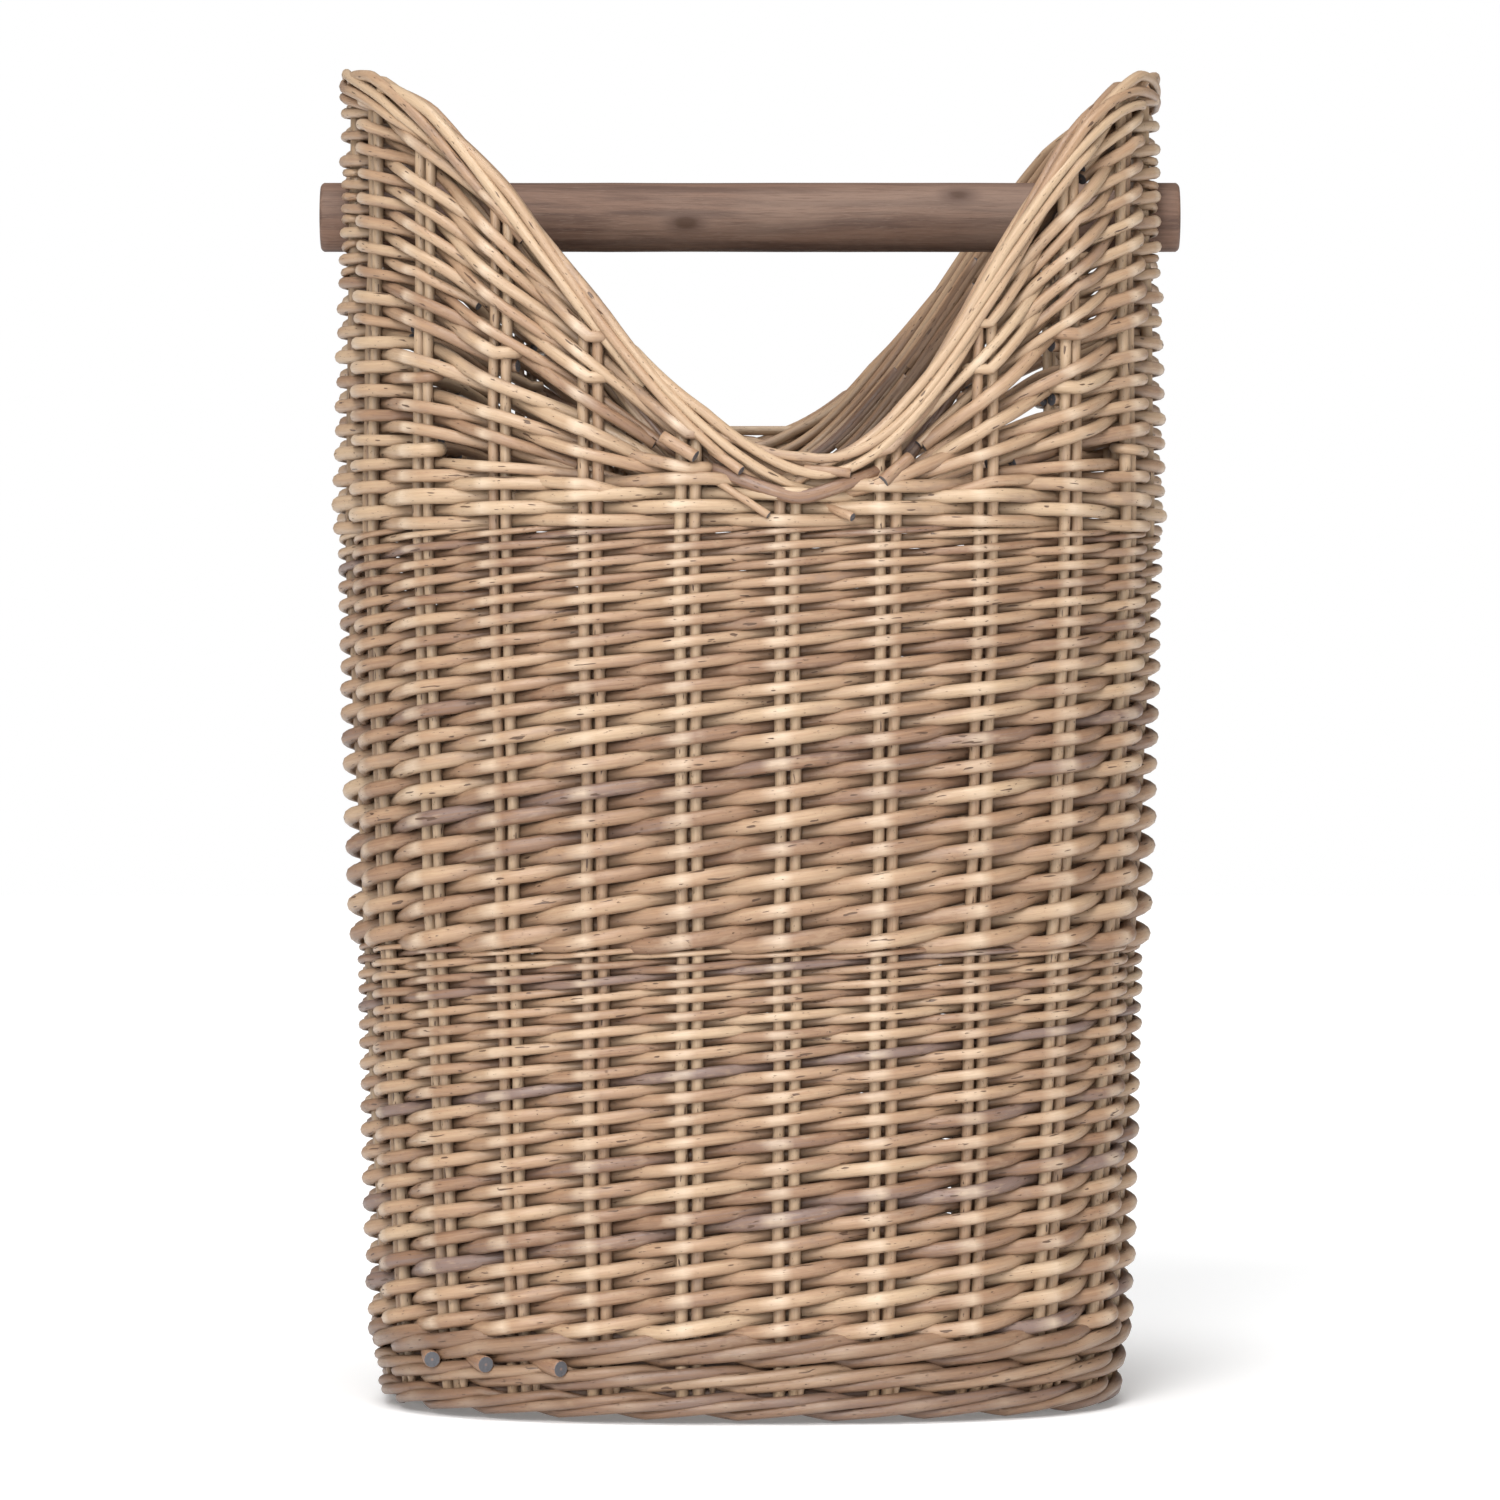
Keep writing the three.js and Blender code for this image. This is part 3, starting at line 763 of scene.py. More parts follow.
class BASKET_OT_ears(bpy.types.Operator):
    """Weave the upper band and the raised ends, in courses that turn back where the rim falls"""

    bl_idname = "basket.ears"
    bl_label = "Raised ends"

    STEPS = 9
    THROUGH = 2  # courses of two rows that run right round under the notches
    COURSES_PER_PIECE = 2
    BORDER = 13 * MM  # height that the rim's border takes up
    TURN_BACK = 3  # one course in so many turns back, and the others run on behind the border
    SPREAD = 0.618  # spaces out the courses that turn back at each pair
    FAN = 0.45  # 0 packs the rows evenly at each pair, and 1 lays them as an even fan
    EYE_ROOM = 2.0 * MM
    PALER = 0.62  # these rods are paler than the bands'
    LESS_PAINTED_SHADE = 0.75  # and get less painted shade
    BEND_ROUND = 0.03  # rounds the bottom of the rod that is bent round the notch's pair
    # Each cut end's start and end, and thickness: places from the notch's pair in stake pairs, then
    # below the rim, outward, and the thickness in millimetres.
    CUT_ENDS = (
        ((-0.77, 0, 3), (-0.47, 11, 9), 5.2),
        ((0.16, 10, 5), (0.60, 12, 8), 5.0),
        ((-0.80, 13, 1), (-0.20, 33, 9), 4.0),
        ((0.34, 27, -3), (0.62, 34, 8), 4.6),
        ((-1.25, -6, 6), (-0.92, 4, 10), 6.6),
        ((1.20, 4, 4), (0.92, 16, 9), 6.8),
    )
    WRAP_CORNER = 0.7  # a wrap is squarer than an ellipse, since it goes round two stakes

    def execute(self, context):
        wall, rods = wall_of(context), context.scene.basket_rods
        self.courses = round((TIP - self.BORDER - MIDDLE_BAND_TOP) / (2 * rods.ear_row))
        others = np.arange(self.THROUGH, self.courses)
        others = others[np.argsort(np.mod(others * self.SPREAD, 1))]
        self.order = np.concatenate([np.arange(self.THROUGH), others])
        self.through(context, wall, rods)
        for name, middle in (("left", LEFT_MIDDLE), ("right", RIGHT_MIDDLE)):
            self.ear(context, wall, rods, name, middle)
        self.notch(context, wall)
        return {"FINISHED"}

    def rows_at(self, wall, rods, pair):
        """Height of every row at a pair, and not a number where a row doesn't reach it."""
        room = float(wall.rim(pair)) - self.BORDER - MIDDLE_BAND_TOP
        count = int(np.clip(round(room / (2 * rods.ear_row)), self.THROUGH, self.courses))
        heights = np.full(2 * self.courses, np.nan)
        for rank, course in enumerate(np.sort(self.order[:count])):
            for row in (0, 1):
                packed = (2 * rank + row + 0.55) / (2 * count)
                fanned = (2 * course + row + 0.55) / (2 * self.courses)
                share = packed if course < self.THROUGH else (1 - self.FAN) * packed + self.FAN * fanned
                heights[2 * course + row] = MIDDLE_BAND_TOP + share * room
        return heights

    def through(self, context, wall, rods):
        rng = np.random.default_rng(30)
        mesh = RodMesh("upper_band_rods")
        table = np.array([self.rows_at(wall, rods, pair) for pair in range(-STAKES, 2 * STAKES)])
        for row in range(2 * self.THROUGH):
            start = (7 * row + 3) // 2 * 2 + 1 - row  # behind a stake
            self.run(mesh, wall, rods, row, start, start + STAKES, table[:, row], -STAKES, rng)
        add_piece(context, mesh, "willow", "upper_band")

    def ear(self, context, wall, rods, name, middle):
        rng = np.random.default_rng(31 + int(middle))
        first = int(middle - STAKES / 4 + 0.5)
        pairs = np.arange(first, first + STAKES // 2)
        table = np.array([self.rows_at(wall, rods, pair) for pair in pairs])
        clear = POLE_RADIUS + rods.ear_tip_rod / 2 + self.EYE_ROOM
        mesh = None
        for course in range(self.THROUGH, self.courses):
            place = course - self.THROUGH
            if place % self.COURSES_PER_PIECE == 0:
                mesh = RodMesh(f"ear_{name}_rods_{place // self.COURSES_PER_PIECE + 1:02d}")
            for row in (2 * course, 2 * course + 1):
                heights = table[:, row]
                reached = pairs[~np.isnan(heights)]
                crest = np.nanmax(heights)
                runs = [(reached[0], reached[-1])]
                if abs(crest - POLE_AXIS) < clear:
                    runs = [(reached[0], int(middle - 0.5)), (int(middle + 0.5), reached[-1])]
                beyond = np.full(len(pairs) + 2, np.nan)
                if course % self.TURN_BACK:
                    around = range(first - 1, first + len(pairs) + 1)
                    beyond = [self.fanned(wall, pair, row) for pair in around]
                for start, end in runs:
                    falls_before = start == reached[0] and start > pairs[0]
                    falls_after = end == reached[-1] and end < pairs[-1]
                    onward = (
                        beyond[start - first] if falls_before else np.nan,
                        beyond[end - first + 2] if falls_after else np.nan,
                    )
                    self.run(mesh, wall, rods, row, start, end, heights, first, rng, onward)
            if place % self.COURSES_PER_PIECE == self.COURSES_PER_PIECE - 1 or course == self.courses - 1:
                nodes = [f"ear_weave_{name}"] if place < self.COURSES_PER_PIECE else []
                add_piece(context, mesh, "willow", *nodes)
        wraps = RodMesh(f"ear_{name}_wraps")
        self.wraps(wraps, wall, rods, middle, table, first, rng)
        add_piece(context, wraps, "willow")

    def fanned(self, wall, pair, row):
        """Height that a row would have at a pair if no course turned back."""
        room = float(wall.rim(pair)) - self.BORDER - MIDDLE_BAND_TOP
        return MIDDLE_BAND_TOP + (row + 0.55) / (2 * self.courses) * room

    def softened(self, z):
        """Heights along a row, without a kink at each pair."""
        soft = self.STEPS // 2
        wide = 2 * soft + 1
        return np.convolve(np.pad(z, soft, "reflect", reflect_type="odd"), np.ones(wide), "valid") / wide

    def run(self, mesh, wall, rods, row, start, end, heights, first, rng, onward=(np.nan, np.nan)):
        """One row from pair to pair, which then turns back or runs on behind the border."""
        spacing = wall.perimeter / STAKES
        at = np.linspace(start, end, max(2, int((end - start) * self.STEPS) + 1))
        pairs = np.arange(start, end + 1)
        z = np.interp(at, pairs, heights[pairs - first])
        z = self.softened(z)
        radius = np.interp(row, [0, 2 * self.courses], [rods.ear_rod, rods.ear_tip_rod]) / 2
        radius = radius * rng.uniform(0.88, 1.08)
        off = crossing(at + row) * (rods.stake / 2 + radius * HUG)
        off = off + waves(rng, at * spacing, 0.3 * MM, 0.2, 0.09)
        z = z + waves(rng, at * spacing, 0.4 * MM, 0.21, 0.09)
        # Pale bend marks, partly rubbing and partly a painted highlight.
        worn = bend_over(at + row)
        turn = np.radians([75, 50, 25, 0, -25, -50, -75])
        wide = (rods.stake_spacing / 2 + rods.stake / 2 + radius * 0.8) / spacing
        deep = rods.stake / 2 + radius * LOOSE
        for way, pair, target in ((-1, start, onward[0]), (1, end, onward[1])):
            if np.isfinite(target):
                share = np.linspace(0.12, rng.uniform(0.6, 0.95), 7)
                here = deep if (pair + row) % 2 == 0 else -deep
                last = z[-1] if way > 0 else z[0]
                place, out = pair + way * share, np.interp(share, [0.12, 0.55], [here, -deep])
                rise = (target - last) * share
            elif (pair + row) % 2 == 0:
                place, out = pair + way * wide * np.cos(turn), deep * np.sin(turn)
                rise = np.linspace(0, 1.2 * MM, len(turn))
            else:
                place, out, rise = pair + way * np.array([0.06, 0.14]), np.full(2, -deep), np.zeros(2)
            if way > 0:
                at, off, z = np.append(at, place), np.append(off, out), np.append(z, z[-1] + rise)
                worn = np.append(worn, np.zeros(len(place)))
            else:
                at, off = np.append(place[::-1], at), np.append(out[::-1], off)
                z, worn = np.append(z[0] + rise[::-1], z), np.append(np.zeros(len(place)), worn)
        share = np.linspace(0, 1, len(at))
        taper = 0.90 + 0.22 * (share if rng.random() < 0.5 else 1 - share)
        thickness = radius * taper + waves(rng, share, 0.07 * MM, 0.31, 0.12)
        # Painted shade where the rod lies behind the stakes.
        sunk = np.clip(0.5 - off / (2 * deep), 0, 1)
        path = wall.point(at, z, off)
        tone = tone_of(rng) * self.PALER
        mesh.add(path, thickness, tone, sides=10, worn=worn, deep=sunk * self.LESS_PAINTED_SHADE)

    def wraps(self, mesh, wall, rods, middle, table, first, rng):
        """Short rods turned right round the pairs on each side of the pole, which close up the eye."""
        spacing = wall.perimeter / STAKES
        turn = np.linspace(0, 2 * math.pi, 25)
        front = np.clip(np.sin(turn), 0, 1)
        for pair in (int(middle - 0.5), int(middle + 0.5)):
            rows = np.arange(table.shape[1])
            heights = table[pair - first]
            for z in heights[((rows + pair) % 2 == 1) & (np.abs(heights - POLE_AXIS) < POLE_RADIUS * 1.7)]:
                radius = rods.ear_tip_rod * 0.42 * rng.uniform(0.92, 1.08)
                wide = rods.stake_spacing / 2 + rods.stake / 2 + radius * 0.8
                deep = rods.stake / 2 + radius * LOOSE
                across, off = oval(wide, deep, self.WRAP_CORNER, turn)
                height = z + 1.0 * MM * np.sin(turn + rng.uniform(0, 6))
                path = wall.point(pair + across / spacing, height, off)
                # Pale marks on the front of each wrap, partly rubbing and partly a painted highlight.
                mesh.add(path, radius, tone_of(rng) * 0.7, worn=front * 0.4)

    def notch(self, context, wall):
        """A thick rod bent round the pair at the bottom of the front notch, and the cut ends about it."""
        mesh = RodMesh("notch_rods")
        rim = float(wall.rim(NOTCH_PAIR))
        share = np.linspace(-1, 1, 25)
        bend = np.sqrt(share**2 + self.BEND_ROUND)
        place = NOTCH_PAIR + 0.10 + share * 0.85
        height = rim - 27 * MM + bend * 17 * MM
        mesh.add(wall.point(place, height, (7.5 - 9 * share**2) * MM), 3.5 * MM, 0.80, sides=12)
        for start, end, thick in self.CUT_ENDS:
            (p0, z0, o0), (p1, z1, o1) = start, end
            share = np.linspace(0, 1, 7)
            path = wall.point(
                NOTCH_PAIR + p0 + (p1 - p0) * share,
                rim - (z0 + (z1 - z0) * share) * MM,
                (o0 + (o1 - o0) * share) * MM,
            )
            mesh.add(path, thick / 2 * MM, 0.05 + 0.08 * thick, sides=10)
        back = LEFT_MIDDLE / 2
        across = np.linspace(back - 2.1, back + 0.1, 15)
        path = wall.point(across, float(wall.rim(back)) - 1 * MM, 4 * MM)
        mesh.add(path, 2.6 * MM, 0.05, sides=10)
        add_piece(context, mesh, "brown_willow")


class BASKET_OT_rim_border(bpy.types.Operator):
    """Turn the stakes down along the rim, each pair laid over the ones before it"""

    bl_idname = "basket.rim_border"
    bl_label = "Rim border"

    PAIRS_PER_PIECE = 4
    STEPS = 10
    TAILS = (23 * MM, 33 * MM)  # below the rim
    PALER = 0.72
    # A rod's path: how far along, in stake pairs, then below the rim and outward in millimetres.
    SINK = ((0, -17), (0.5, -5.5), (1.2, -3.2), (2.3, -11.5))
    LAST_SINK = -21
    LOWER = 2.5 * MM  # how much lower the rods that lie inside run

    def execute(self, context):
        wall, rods = wall_of(context), context.scene.basket_rods
        rng = np.random.default_rng(41)
        for first in range(0, STAKES, self.PAIRS_PER_PIECE):
            mesh = RodMesh(f"rim_border_rods_{first // self.PAIRS_PER_PIECE + 1}")
            for pair in range(first, first + self.PAIRS_PER_PIECE):
                for side in (-1, 1):
                    self.lay(mesh, wall, rods, pair, side, rng)
                self.tails(mesh, wall, rods, pair, rng)
            nodes = ["rim_border"] if first == 0 else []
            add_piece(context, mesh, "willow", *nodes)
        return {"FINISHED"}

    def lay(self, mesh, wall, rods, pair, side, rng):
        spacing = wall.perimeter / STAKES
        run = rng.uniform(3.2, 4.3)
        along = np.linspace(0, run, int(run * self.STEPS) + 1)
        radius = rods.border_rod / 2 * rng.uniform(0.9, 1.1) * np.interp(along, [0, run], [1.0, 0.82])
        radius = radius + waves(rng, along * spacing, 0.07 * MM, 0.1, 0.043)
        places, depths = zip(*self.SINK)
        sink = np.interp(along, [*places, run], [*depths, self.LAST_SINK]) * MM
        sink = sink + waves(rng, along * spacing, 0.7 * MM, 0.17, 0.09)
        off = np.interp(along, [0, 0.45, 1.3, run - 0.6, run], [0, 4.0, 6.0, 6.5, -2.0]) * MM
        if side < 0:
            sink = sink - self.LOWER
            off = np.interp(along, [0, 0.5, 1.6, run], [0, -2.0, -5.5, -7.0]) * MM
        leaned = np.where(along < 0.25, along**2 * 2, along - 0.125)  # upright at first, then over
        place = pair + side * rods.stake_spacing / 2 / spacing + leaned
        z = wall.rim(place) + sink
        mesh.add(wall.point(place, z, off), radius, tone_of(rng) * self.PALER, sides=10)


    def tails(self, mesh, wall, rods, pair, rng):
        """Ends of the turned-down rods, which run on behind the weave and close its gaps."""
        spacing = wall.perimeter / STAKES
        for below in self.TAILS:
            share = np.linspace(0, 1, 28)
            place = pair + rng.uniform(-0.3, 0.3) + share * rng.uniform(2.6, 3.2)
            sink = below + 7 * MM * share + waves(rng, share * 3 * spacing, 0.8 * MM, 0.11, 0.05)
            height = np.maximum(wall.rim(place) - sink, MIDDLE_BAND_TOP + 6 * MM)
            off = -rods.stake / 2 - rods.ear_rod * 0.9 + waves(rng, share, 0.5 * MM, 0.6)
            radius = rods.border_rod * np.interp(share, [0, 1], [0.46, 0.36])
            # The tails get painted shade, as they lie behind the weave.
            mesh.add(wall.point(place, height, off), radius, tone_of(rng), deep=np.full(len(share), 0.9))


class BASKET_OT_foot(bpy.types.Operator):
    """Weave the two wales and the border that the basket stands on"""

    bl_idname = "basket.foot"
    bl_label = "Foot"

    STEPS = 8
    STRANDS = 3
    # A rod's stroke: how far through it, how far outward, and how far it has climbed.
    OUTSIDE = ((0, 0), (0.14, 1), (0.55, 1), (0.68, 0), (0.84, -1), (1.0, 0))
    CLIMB = ((0, -0.5), (0.66, 0.5), (1.0, -0.5))
    START = 0.84
    BUTTS = (-4.05, -3.28, -2.38)  # places from the notch's pair
    BUTT_TONE = 0.70
    CORE_TONE = 0.85
    SHADED = 0.85  # least share of painted shade, so that the foot comes out darker than the wall
    DARKEST = 0.74  # tone

    def execute(self, context):
        rods = context.scene.basket_rods
        upper = (UPPER_WALE_TOP + LOWER_WALE_TOP) / 2
        lower = (LOWER_WALE_TOP + FOOT_TOP) / 2
        border = (FOOT_TOP + FLOOR) / 2 + 1.2 * MM
        last = NOTCH_PAIR - 3.8
        brown = "brown_willow"
        for node, middle, rise, thick, slot, seed, darker, end in (
            ("foot_wale_upper", upper, 11.5 * MM, rods.wale_rod, brown, 51, 0.50, last),
            ("foot_wale_lower", lower, 9.5 * MM, rods.lower_wale_rod, "willow", 52, 0.30, 2.0),
            ("foot_border", border, 9.5 * MM, rods.foot_rod, brown, 53, 0.50, 5.0),
        ):
            self.wale(context, node, middle, rise, thick, slot, seed, darker, end)
        self.core(context)
        self.butts(context)
        self.tips(context)
        return {"FINISHED"}

    def wale(self, context, node, middle, rise, thick, slot, seed, darker, last):
        """Rods that pass in front of two pairs and behind one, each stroke laid over the one before it."""
        wall, rods = wall_of(context), context.scene.basket_rods
        rng = np.random.default_rng(seed)
        spacing = wall.perimeter / STAKES
        for strand in range(self.STRANDS):
            mesh = RodMesh(f"{node}_rods_{strand + 1}")
            at = np.arange(0, STAKES + 0.2, 1 / self.STEPS)
            phase = np.mod(at / self.STRANDS + self.START, 1)
            outside = np.interp(phase, *zip(*self.OUTSIDE))
            outside = np.convolve(np.pad(outside, 3, "edge"), np.ones(5) / 5, "same")[3:-3]
            climb = np.interp(phase, *zip(*self.CLIMB))
            radius = thick / 2 * rng.uniform(0.95, 1.05) * np.interp(at, [0, at[-1]], [0.94, 1.06])
            radius = radius + waves(rng, at * spacing, 0.12 * MM, 0.17, 0.06)
            z = middle + rise * climb + waves(rng, at * spacing, 0.4 * MM, 0.2, 0.11)
            z = np.maximum(z, FLOOR + radius)
            off = outside * (rods.stake / 2 + radius * LOOSE) + climb * 1.5 * MM
            tone = float(np.clip(tone_of(rng) * 0.5 + darker, 0.03, self.DARKEST))
            # A pale mark where the stroke runs outside, partly rubbing and partly a painted highlight.
            worn = np.clip(1 - np.abs(phase - 0.30) / 0.1, 0, 1) * 0.4
            place = last + strand - STAKES + at
            # Painted shade, strongest where a strand lies inside and strong all over the foot.
            deep = np.clip(0.5 - outside / 2, self.SHADED, 1)
            mesh.add(wall.point(place, z, off), radius, tone, sides=10, worn=worn, deep=deep)
            add_piece(context, mesh, slot, *([node] if strand == 0 else []))

    def core(self, context):
        """Rods turned down under the wall, which run round inside the foot between the wales."""
        wall, rods = wall_of(context), context.scene.basket_rods
        rng = np.random.default_rng(55)
        mesh = RodMesh("foot_core_rods")
        spacing = wall.perimeter / STAKES
        for height in (FOOT_TOP - 1 * MM, LOWER_WALE_TOP, UPPER_WALE_TOP):
            place = np.arange(0, STAKES + 0.5, 1 / self.STEPS)
            z = height + waves(rng, place * spacing, 0.5 * MM, 0.23, 0.1)
            path = wall.point(place, z, -3.5 * MM)
            # These rods get full painted shade, as they lie inside the foot.
            mesh.add(path, rods.foot_rod * 0.5, self.CORE_TONE, deep=np.ones(len(place)))
        add_piece(context, mesh, "brown_willow")

    def butts(self, context):
        """The cut butts of the upper wale's three rods, which stick out at the left of the front."""
        wall, rods = wall_of(context), context.scene.basket_rods
        mesh = RodMesh("foot_wale_butts")
        share = np.linspace(0, 1, 9)
        for i, end in enumerate(self.BUTTS):
            place = NOTCH_PAIR + end - 0.62 * (1 - share)
            height = LOWER_WALE_TOP + (-0.5 - 0.8 * i + 8 * (1 - share) ** 1.5) * MM
            off = np.interp(share, [0, 0.45, 1], [-6, 1, 12]) * MM
            mesh.add(wall.point(place, height, off), rods.wale_rod * 0.56, self.BUTT_TONE, sides=14)
        add_piece(context, mesh, "brown_willow")

    def tips(self, context):
        """Sharpened tips of the stakes that were pushed down beside the pairs."""
        wall = wall_of(context)
        rng = np.random.default_rng(54)
        spacing = wall.perimeter / STAKES
        mesh = RodMesh("foot_stake_tips")
        for pair in range(STAKES):
            place = pair + rng.uniform(7, 12) * MM / spacing
            z = np.linspace(FLOOR + rng.uniform(8, 12) * MM, FOOT_TOP + 12 * MM, 6)
            radius = np.interp(z, [z[0], z[0] + 9 * MM], [0.7 * MM, 2.4 * MM])
            off = rng.uniform(-1, 2.5) * MM
            mesh.add(wall.point(place, z, off), radius, 0.2)
        add_piece(context, mesh, "pale_willow")


class BASKET_OT_base(bpy.types.Operator):
    """Weave the base: long sticks through split short sticks, with rods twined round them"""

    bl_idname = "basket.base"
    bl_label = "Base"

    ROUNDS_PER_PIECE = 6
    STICK_ROOM = 3.5 * MM  # half of what each long stick takes up in the middle
    PACKED = 1.12  # rounds lie this many rod thicknesses apart
    STICK_HALF = 5.0 * MM  # half a short stick's height, which the rods pass over and under
    PALER = 0.9

    def execute(self, context):
        self.sticks(context)
        self.rounds(context)
        return {"FINISHED"}

    def sticks(self, context):
        rng = np.random.default_rng(61)
        for kind, count, along in (("short", SHORT_STICKS, 1), ("long", LONG_STICKS, 0)):
            for i in range(count):
                node = f"base_stick_{kind}_{i + 1}"
                low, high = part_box(node)
                middle = (low + high) / 2
                radius = (high.z - low.z) / 2
                share = np.linspace(-1, 1, 25)
                path = np.tile(np.array(middle), (25, 1))
                path[:, along] += share * (high[along] - low[along]) / 2
                path[:, 1 - along] += waves(rng, share, 0.5 * MM, 1.3, 0.6)
                width = radius * (0.97 + waves(rng, share, 0.02, 0.9, 0.4))
                mesh = RodMesh(node + "_rod")
                if kind == "short":
                    flat = np.clip(1 - np.abs(share) / 0.12, 0, 1)
                    width = width * (1 + 0.18 * flat)
                mesh.add(path, width, 0.3 + 0.3 * rng.random(), sides=14)
                add_piece(context, mesh, "brown_willow", node)

    def rounds(self, context):
        rods = context.scene.basket_rods
        rng = np.random.default_rng(62)
        low, high = BASE_BOX
        half_length, half_depth = high.x - 2 * MM, high.y - 2 * MM
        middle = (low.z + high.z) / 2
        core = LONG_STICKS * self.STICK_ROOM + rods.base_rod
        pitch = rods.base_rod * self.PACKED
        rounds = int((half_depth - core) / pitch)
        boxes = [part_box(f"base_stick_short_{i + 1}") for i in range(SHORT_STICKS)]
        stick_x = [(stick_low.x + stick_high.x) / 2 for stick_low, stick_high in boxes]
        mesh = None
        for turn in range(rounds):
            if turn % self.ROUNDS_PER_PIECE == 0:
                mesh = RodMesh(f"base_weave_rods_{turn // self.ROUNDS_PER_PIECE + 1}")
            share = (turn + 0.5) / rounds
            long_way = (half_length - half_depth + core) + share * (half_depth - core)
            deep_way = core + share * (half_depth - core)
            angle = np.linspace(0, 2 * math.pi, 241)
            power = 2 / np.interp(share, [0, 1], [2.1, 2.4])
            x, y = oval(long_way, deep_way, power, angle)
            crossings = [0.0, math.pi]
            for sx in stick_x:
                if abs(sx) < long_way * 0.96:
                    t = math.acos((abs(sx) / long_way) ** (1 / power) * (1 if sx >= 0 else -1))
                    crossings += [t, 2 * math.pi - t]
            crossings = np.sort(np.array(crossings + [2 * math.pi]))
            phase = np.interp(angle, crossings, np.arange(len(crossings)))
            for strand in (0, 1):
                radius = rods.base_rod / 2 * rng.uniform(0.93, 1.07)
                lift = np.cos(math.pi * (phase + strand)) * (self.STICK_HALF + radius * 0.55)
                path = np.stack([x, y, middle + lift], axis=-1)
                mesh.add(path, radius, tone_of(rng) * self.PALER, sides=7)
            if turn % self.ROUNDS_PER_PIECE == self.ROUNDS_PER_PIECE - 1 or turn == rounds - 1:
                nodes = ["base_weave"] if turn < self.ROUNDS_PER_PIECE else []
                add_piece(context, mesh, "willow", *nodes)


class BASKET_OT_pole(bpy.types.Operator):
    """Turn the pole handle, with chamfered ends"""

    bl_idname = "basket.pole"
    bl_label = "Pole handle"

    SIDES = 96
    CHAMFER = 1.6 * MM
    STEPS = 40

    def execute(self, context):
        low, high = POLE_BOX
        half = (high.x - low.x) / 2
        rng = np.random.default_rng(71)
        x = np.concatenate(
            [
                [-half, -half, -half + self.CHAMFER * 0.35, -half + self.CHAMFER],
                np.linspace(-half + 3 * self.CHAMFER, half - 3 * self.CHAMFER, self.STEPS),
                [half - self.CHAMFER, half - self.CHAMFER * 0.35, half, half],
            ]
        )
        r = np.full(len(x), POLE_RADIUS)
        edge = [0.0, POLE_RADIUS - self.CHAMFER, POLE_RADIUS - self.CHAMFER * 0.45, POLE_RADIUS]
        r[:4], r[-4:] = edge, edge[::-1]
        angle = np.arange(self.SIDES) / self.SIDES * 2 * math.pi
        r = r[:, None] - np.abs(waves(rng, x, 0.12 * MM, 0.3, 0.13))[:, None] * (r[:, None] > POLE_RADIUS / 2)
        ring = np.stack(
            [
                np.broadcast_to(x[:, None], (len(x), self.SIDES)),
                r * np.cos(angle)[None, :],
                POLE_AXIS + r * np.sin(angle)[None, :],
            ],
            axis=-1,
        )
        points = ring[1:-1].reshape(-1, 3).tolist()
        rows = len(x) - 2
        faces = []
        for i in range(rows - 1):
            for j in range(self.SIDES):
                k = (j + 1) % self.SIDES
                here, there = i * self.SIDES, (i + 1) * self.SIDES
                faces.append([here + j, here + k, there + k, there + j])
        for row, x_end in ((0, -half), (rows - 1, half)):
            points.append([x_end, 0.0, POLE_AXIS])
            for j in range(self.SIDES):
                k = (j + 1) % self.SIDES
                fan = [row * self.SIDES + j, row * self.SIDES + k, len(points) - 1]
                faces.append(fan if row else fan[::-1])
        mesh = bpy.data.meshes.new("pole_handle_turned")
        mesh.from_pydata(points, [], faces)
        mesh.polygons.foreach_set("use_smooth", [len(f) == 4 for f in faces])
        mesh.materials.append(pole_finish(context.scene.basket_colours))
        mesh.update()
        piece = bpy.data.objects.new("pole_handle_turned", mesh)
        context.scene.collection.objects.link(piece)
        put(piece, POLE_BODY, "pole", "pole_handle")
        return {"FINISHED"}


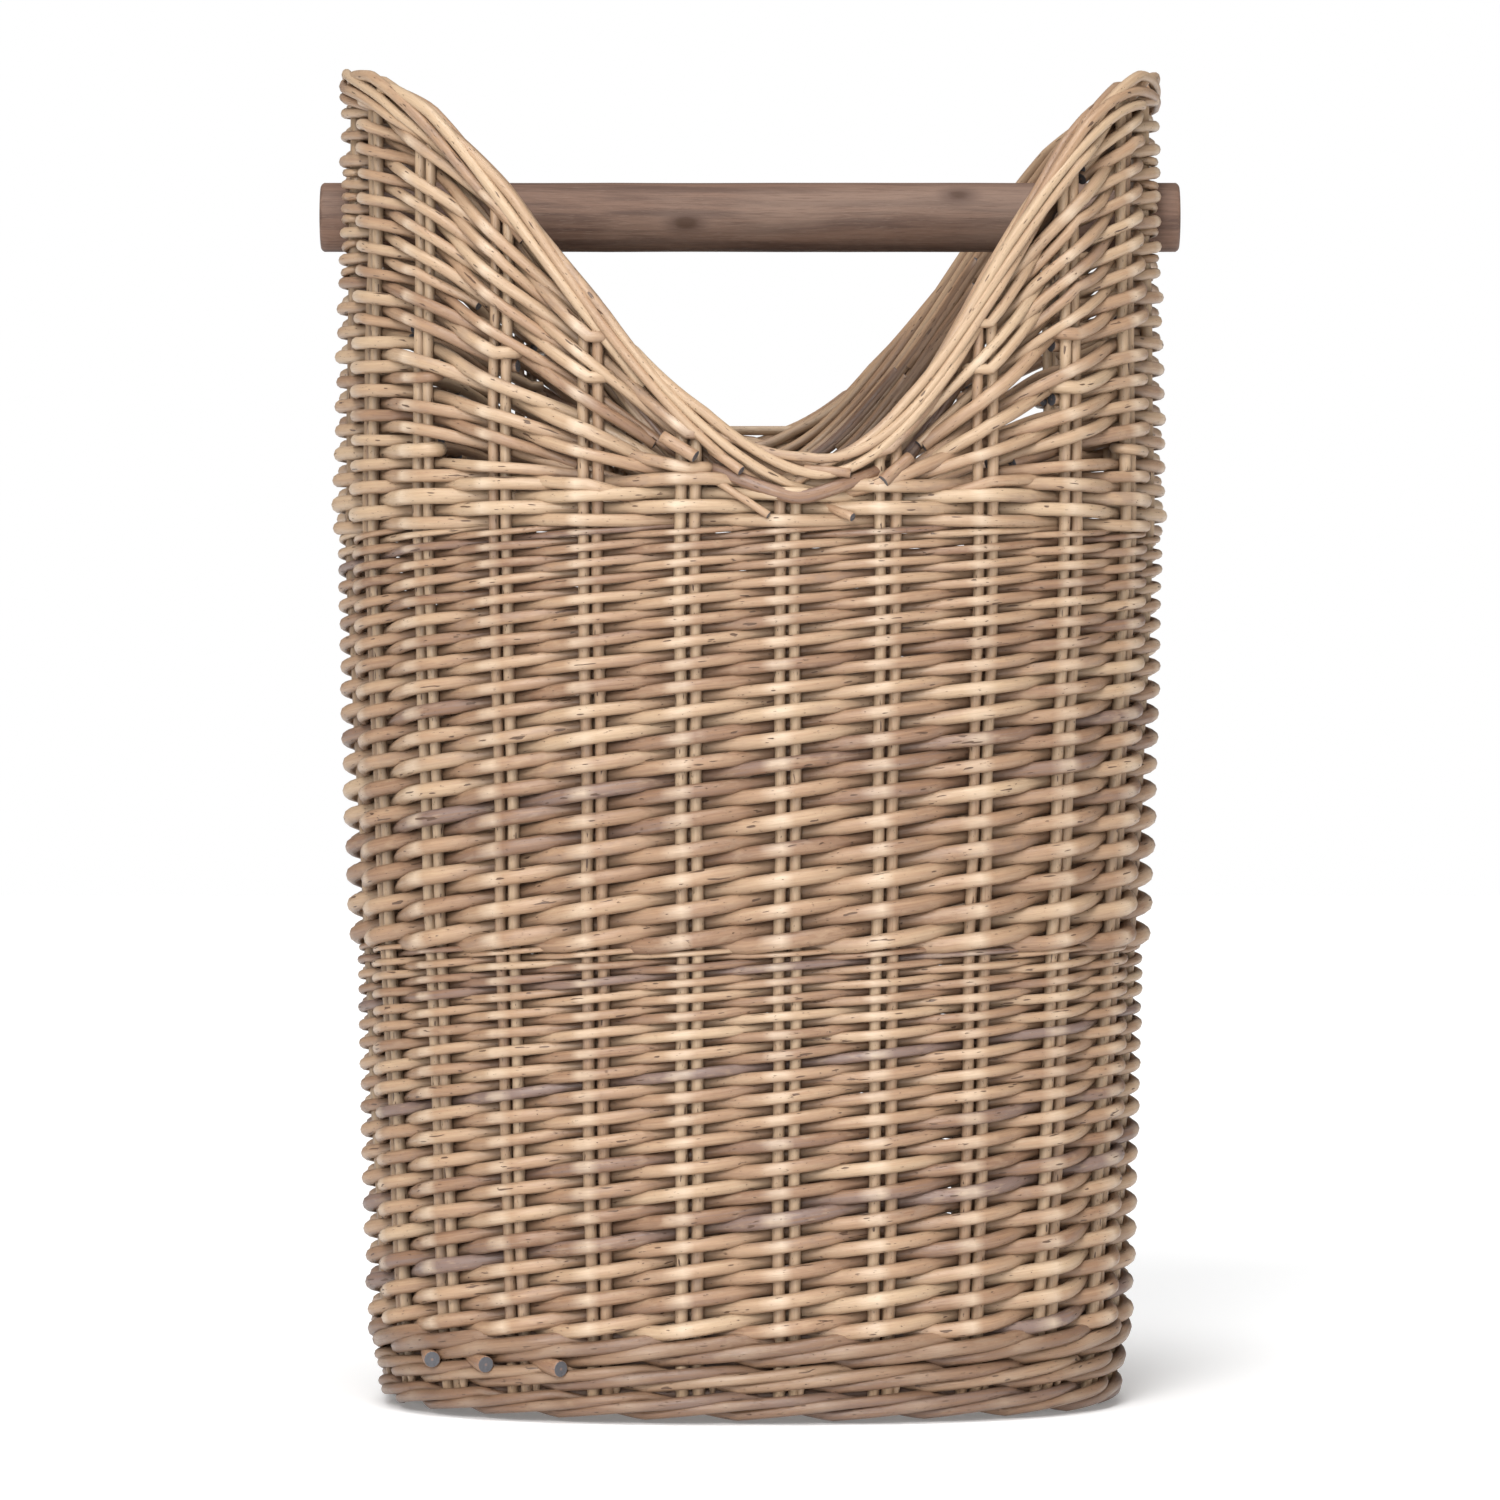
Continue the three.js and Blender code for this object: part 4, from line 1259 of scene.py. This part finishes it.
class BASKET_OT_stage(bpy.types.Operator):
    """Lay the floor, and set the lights and the camera"""

    bl_idname = "basket.stage"
    bl_label = "Stage"

    BACKDROP = 1.0
    AMBIENT = 0.26
    FLOOR_REACH = 12.0
    FLOOR_GLOW = 0.18  # keeps the floor as white as the backdrop
    UNDER_FLOOR = 0.2 * MM
    TARGET = (0, 0, 0.35)

    def execute(self, context):
        stage = context.scene.basket_stage
        self.floor(context, stage)
        self.world(context)
        self.light("light_key", (-0.7, -3.2, 1.0), 1.3, 36)
        self.light("light_fill", (1.8, -2.4, 0.9), 1.4, 8)
        self.sun("light_front", 1.6, 20, 60, -12)
        self.sun("light_overhead", 1.9, 30, 16, -10)
        data = bpy.data.cameras.new("camera")
        data.lens = stage.lens
        data.sensor_width = 36
        camera = bpy.data.objects.new("camera", data)
        context.scene.collection.objects.link(camera)
        camera.location = (0, -stage.distance, stage.eye)
        camera.rotation_euler = (math.radians(90), 0, 0)
        context.scene.camera = camera
        return {"FINISHED"}

    def floor(self, context, stage):
        size = self.FLOOR_REACH
        corners = [(-size, -size), (size, -size), (size, size), (-size, size)]
        mesh = bpy.data.meshes.new("floor")
        mesh.from_pydata([(x, y, FLOOR - self.UNDER_FLOOR) for x, y in corners], [], [(0, 1, 2, 3)])
        s = Shader("floor")
        mesh.materials.append(
            s.surface(
                {
                    "Base Color": tuple(stage.floor),
                    "Roughness": 0.9,
                    "Emission Color": (1.0, 1.0, 1.0),
                    "Emission Strength": self.FLOOR_GLOW,
                }
            )
        )
        floor = bpy.data.objects.new("floor", mesh)
        context.scene.collection.objects.link(floor)

    def world(self, context):
        """White all round, and dimmer as a light than as a backdrop, so that gaps in the weave stay dark."""
        world = bpy.data.worlds.new("studio")
        world.use_nodes = True
        nodes, links = world.node_tree.nodes, world.node_tree.links
        backdrop = nodes["Background"]
        backdrop.inputs["Strength"].default_value = self.BACKDROP
        backdrop.inputs["Color"].default_value = (1, 1, 1, 1)
        ambient = nodes.new("ShaderNodeBackground")
        ambient.inputs["Strength"].default_value = self.AMBIENT
        seen = nodes.new("ShaderNodeLightPath")
        mix = nodes.new("ShaderNodeMixShader")
        links.new(seen.outputs["Is Camera Ray"], mix.inputs[0])
        links.new(ambient.outputs[0], mix.inputs[1])
        links.new(backdrop.outputs[0], mix.inputs[2])
        links.new(mix.outputs[0], nodes["World Output"].inputs[0])
        context.scene.world = world
        context.scene.view_settings.view_transform = "Standard"

    def sun(self, name, strength, spread, tilt, turn):
        """A far light, tilted from straight overhead by some degrees."""
        data = bpy.data.lights.new(name, "SUN")
        data.energy = strength
        data.angle = math.radians(spread)
        light = bpy.data.objects.new(name, data)
        light.rotation_euler = (math.radians(tilt), 0, math.radians(turn))
        bpy.context.scene.collection.objects.link(light)

    def light(self, name, place, size, power):
        """A square light that faces the middle of the basket."""
        data = bpy.data.lights.new(name, "AREA")
        data.size = size
        data.energy = power
        light = bpy.data.objects.new(name, data)
        light.location = place
        light.rotation_euler = (Vector(self.TARGET) - Vector(place)).to_track_quat("-Z", "Y").to_euler()
        bpy.context.scene.collection.objects.link(light)


class BASKET_PT_panel(bpy.types.Panel):
    """Lists the steps that build the basket"""

    bl_idname = "BASKET_PT_panel"
    bl_label = "Basket"
    bl_space_type = "VIEW_3D"
    bl_region_type = "UI"
    bl_category = "Basket"

    def draw(self, context):
        for step in STEPS:
            self.layout.operator(step.bl_idname)
        for group, made in GROUPS.items():
            box = self.layout.box()
            for name in made.__annotations__:
                box.prop(getattr(context.scene, group), name)


STEPS = (
    BASKET_OT_stage,
    BASKET_OT_stakes,
    BASKET_OT_bands,
    BASKET_OT_ears,
    BASKET_OT_rim_border,
    BASKET_OT_foot,
    BASKET_OT_base,
    BASKET_OT_pole,
)
CLASSES = (*GROUPS.values(), *STEPS, BASKET_PT_panel)


def register():
    for made in CLASSES:
        bpy.utils.register_class(made)
    for name, made in GROUPS.items():
        setattr(bpy.types.Scene, name, bpy.props.PointerProperty(type=made))


def unregister():
    for name in GROUPS:
        delattr(bpy.types.Scene, name)
    for made in reversed(CLASSES):
        bpy.utils.unregister_class(made)


def main():
    register()
    for step in STEPS:
        group, name = step.bl_idname.split(".")
        getattr(getattr(bpy.ops, group), name)()


if __name__ == "__main__":
    main()
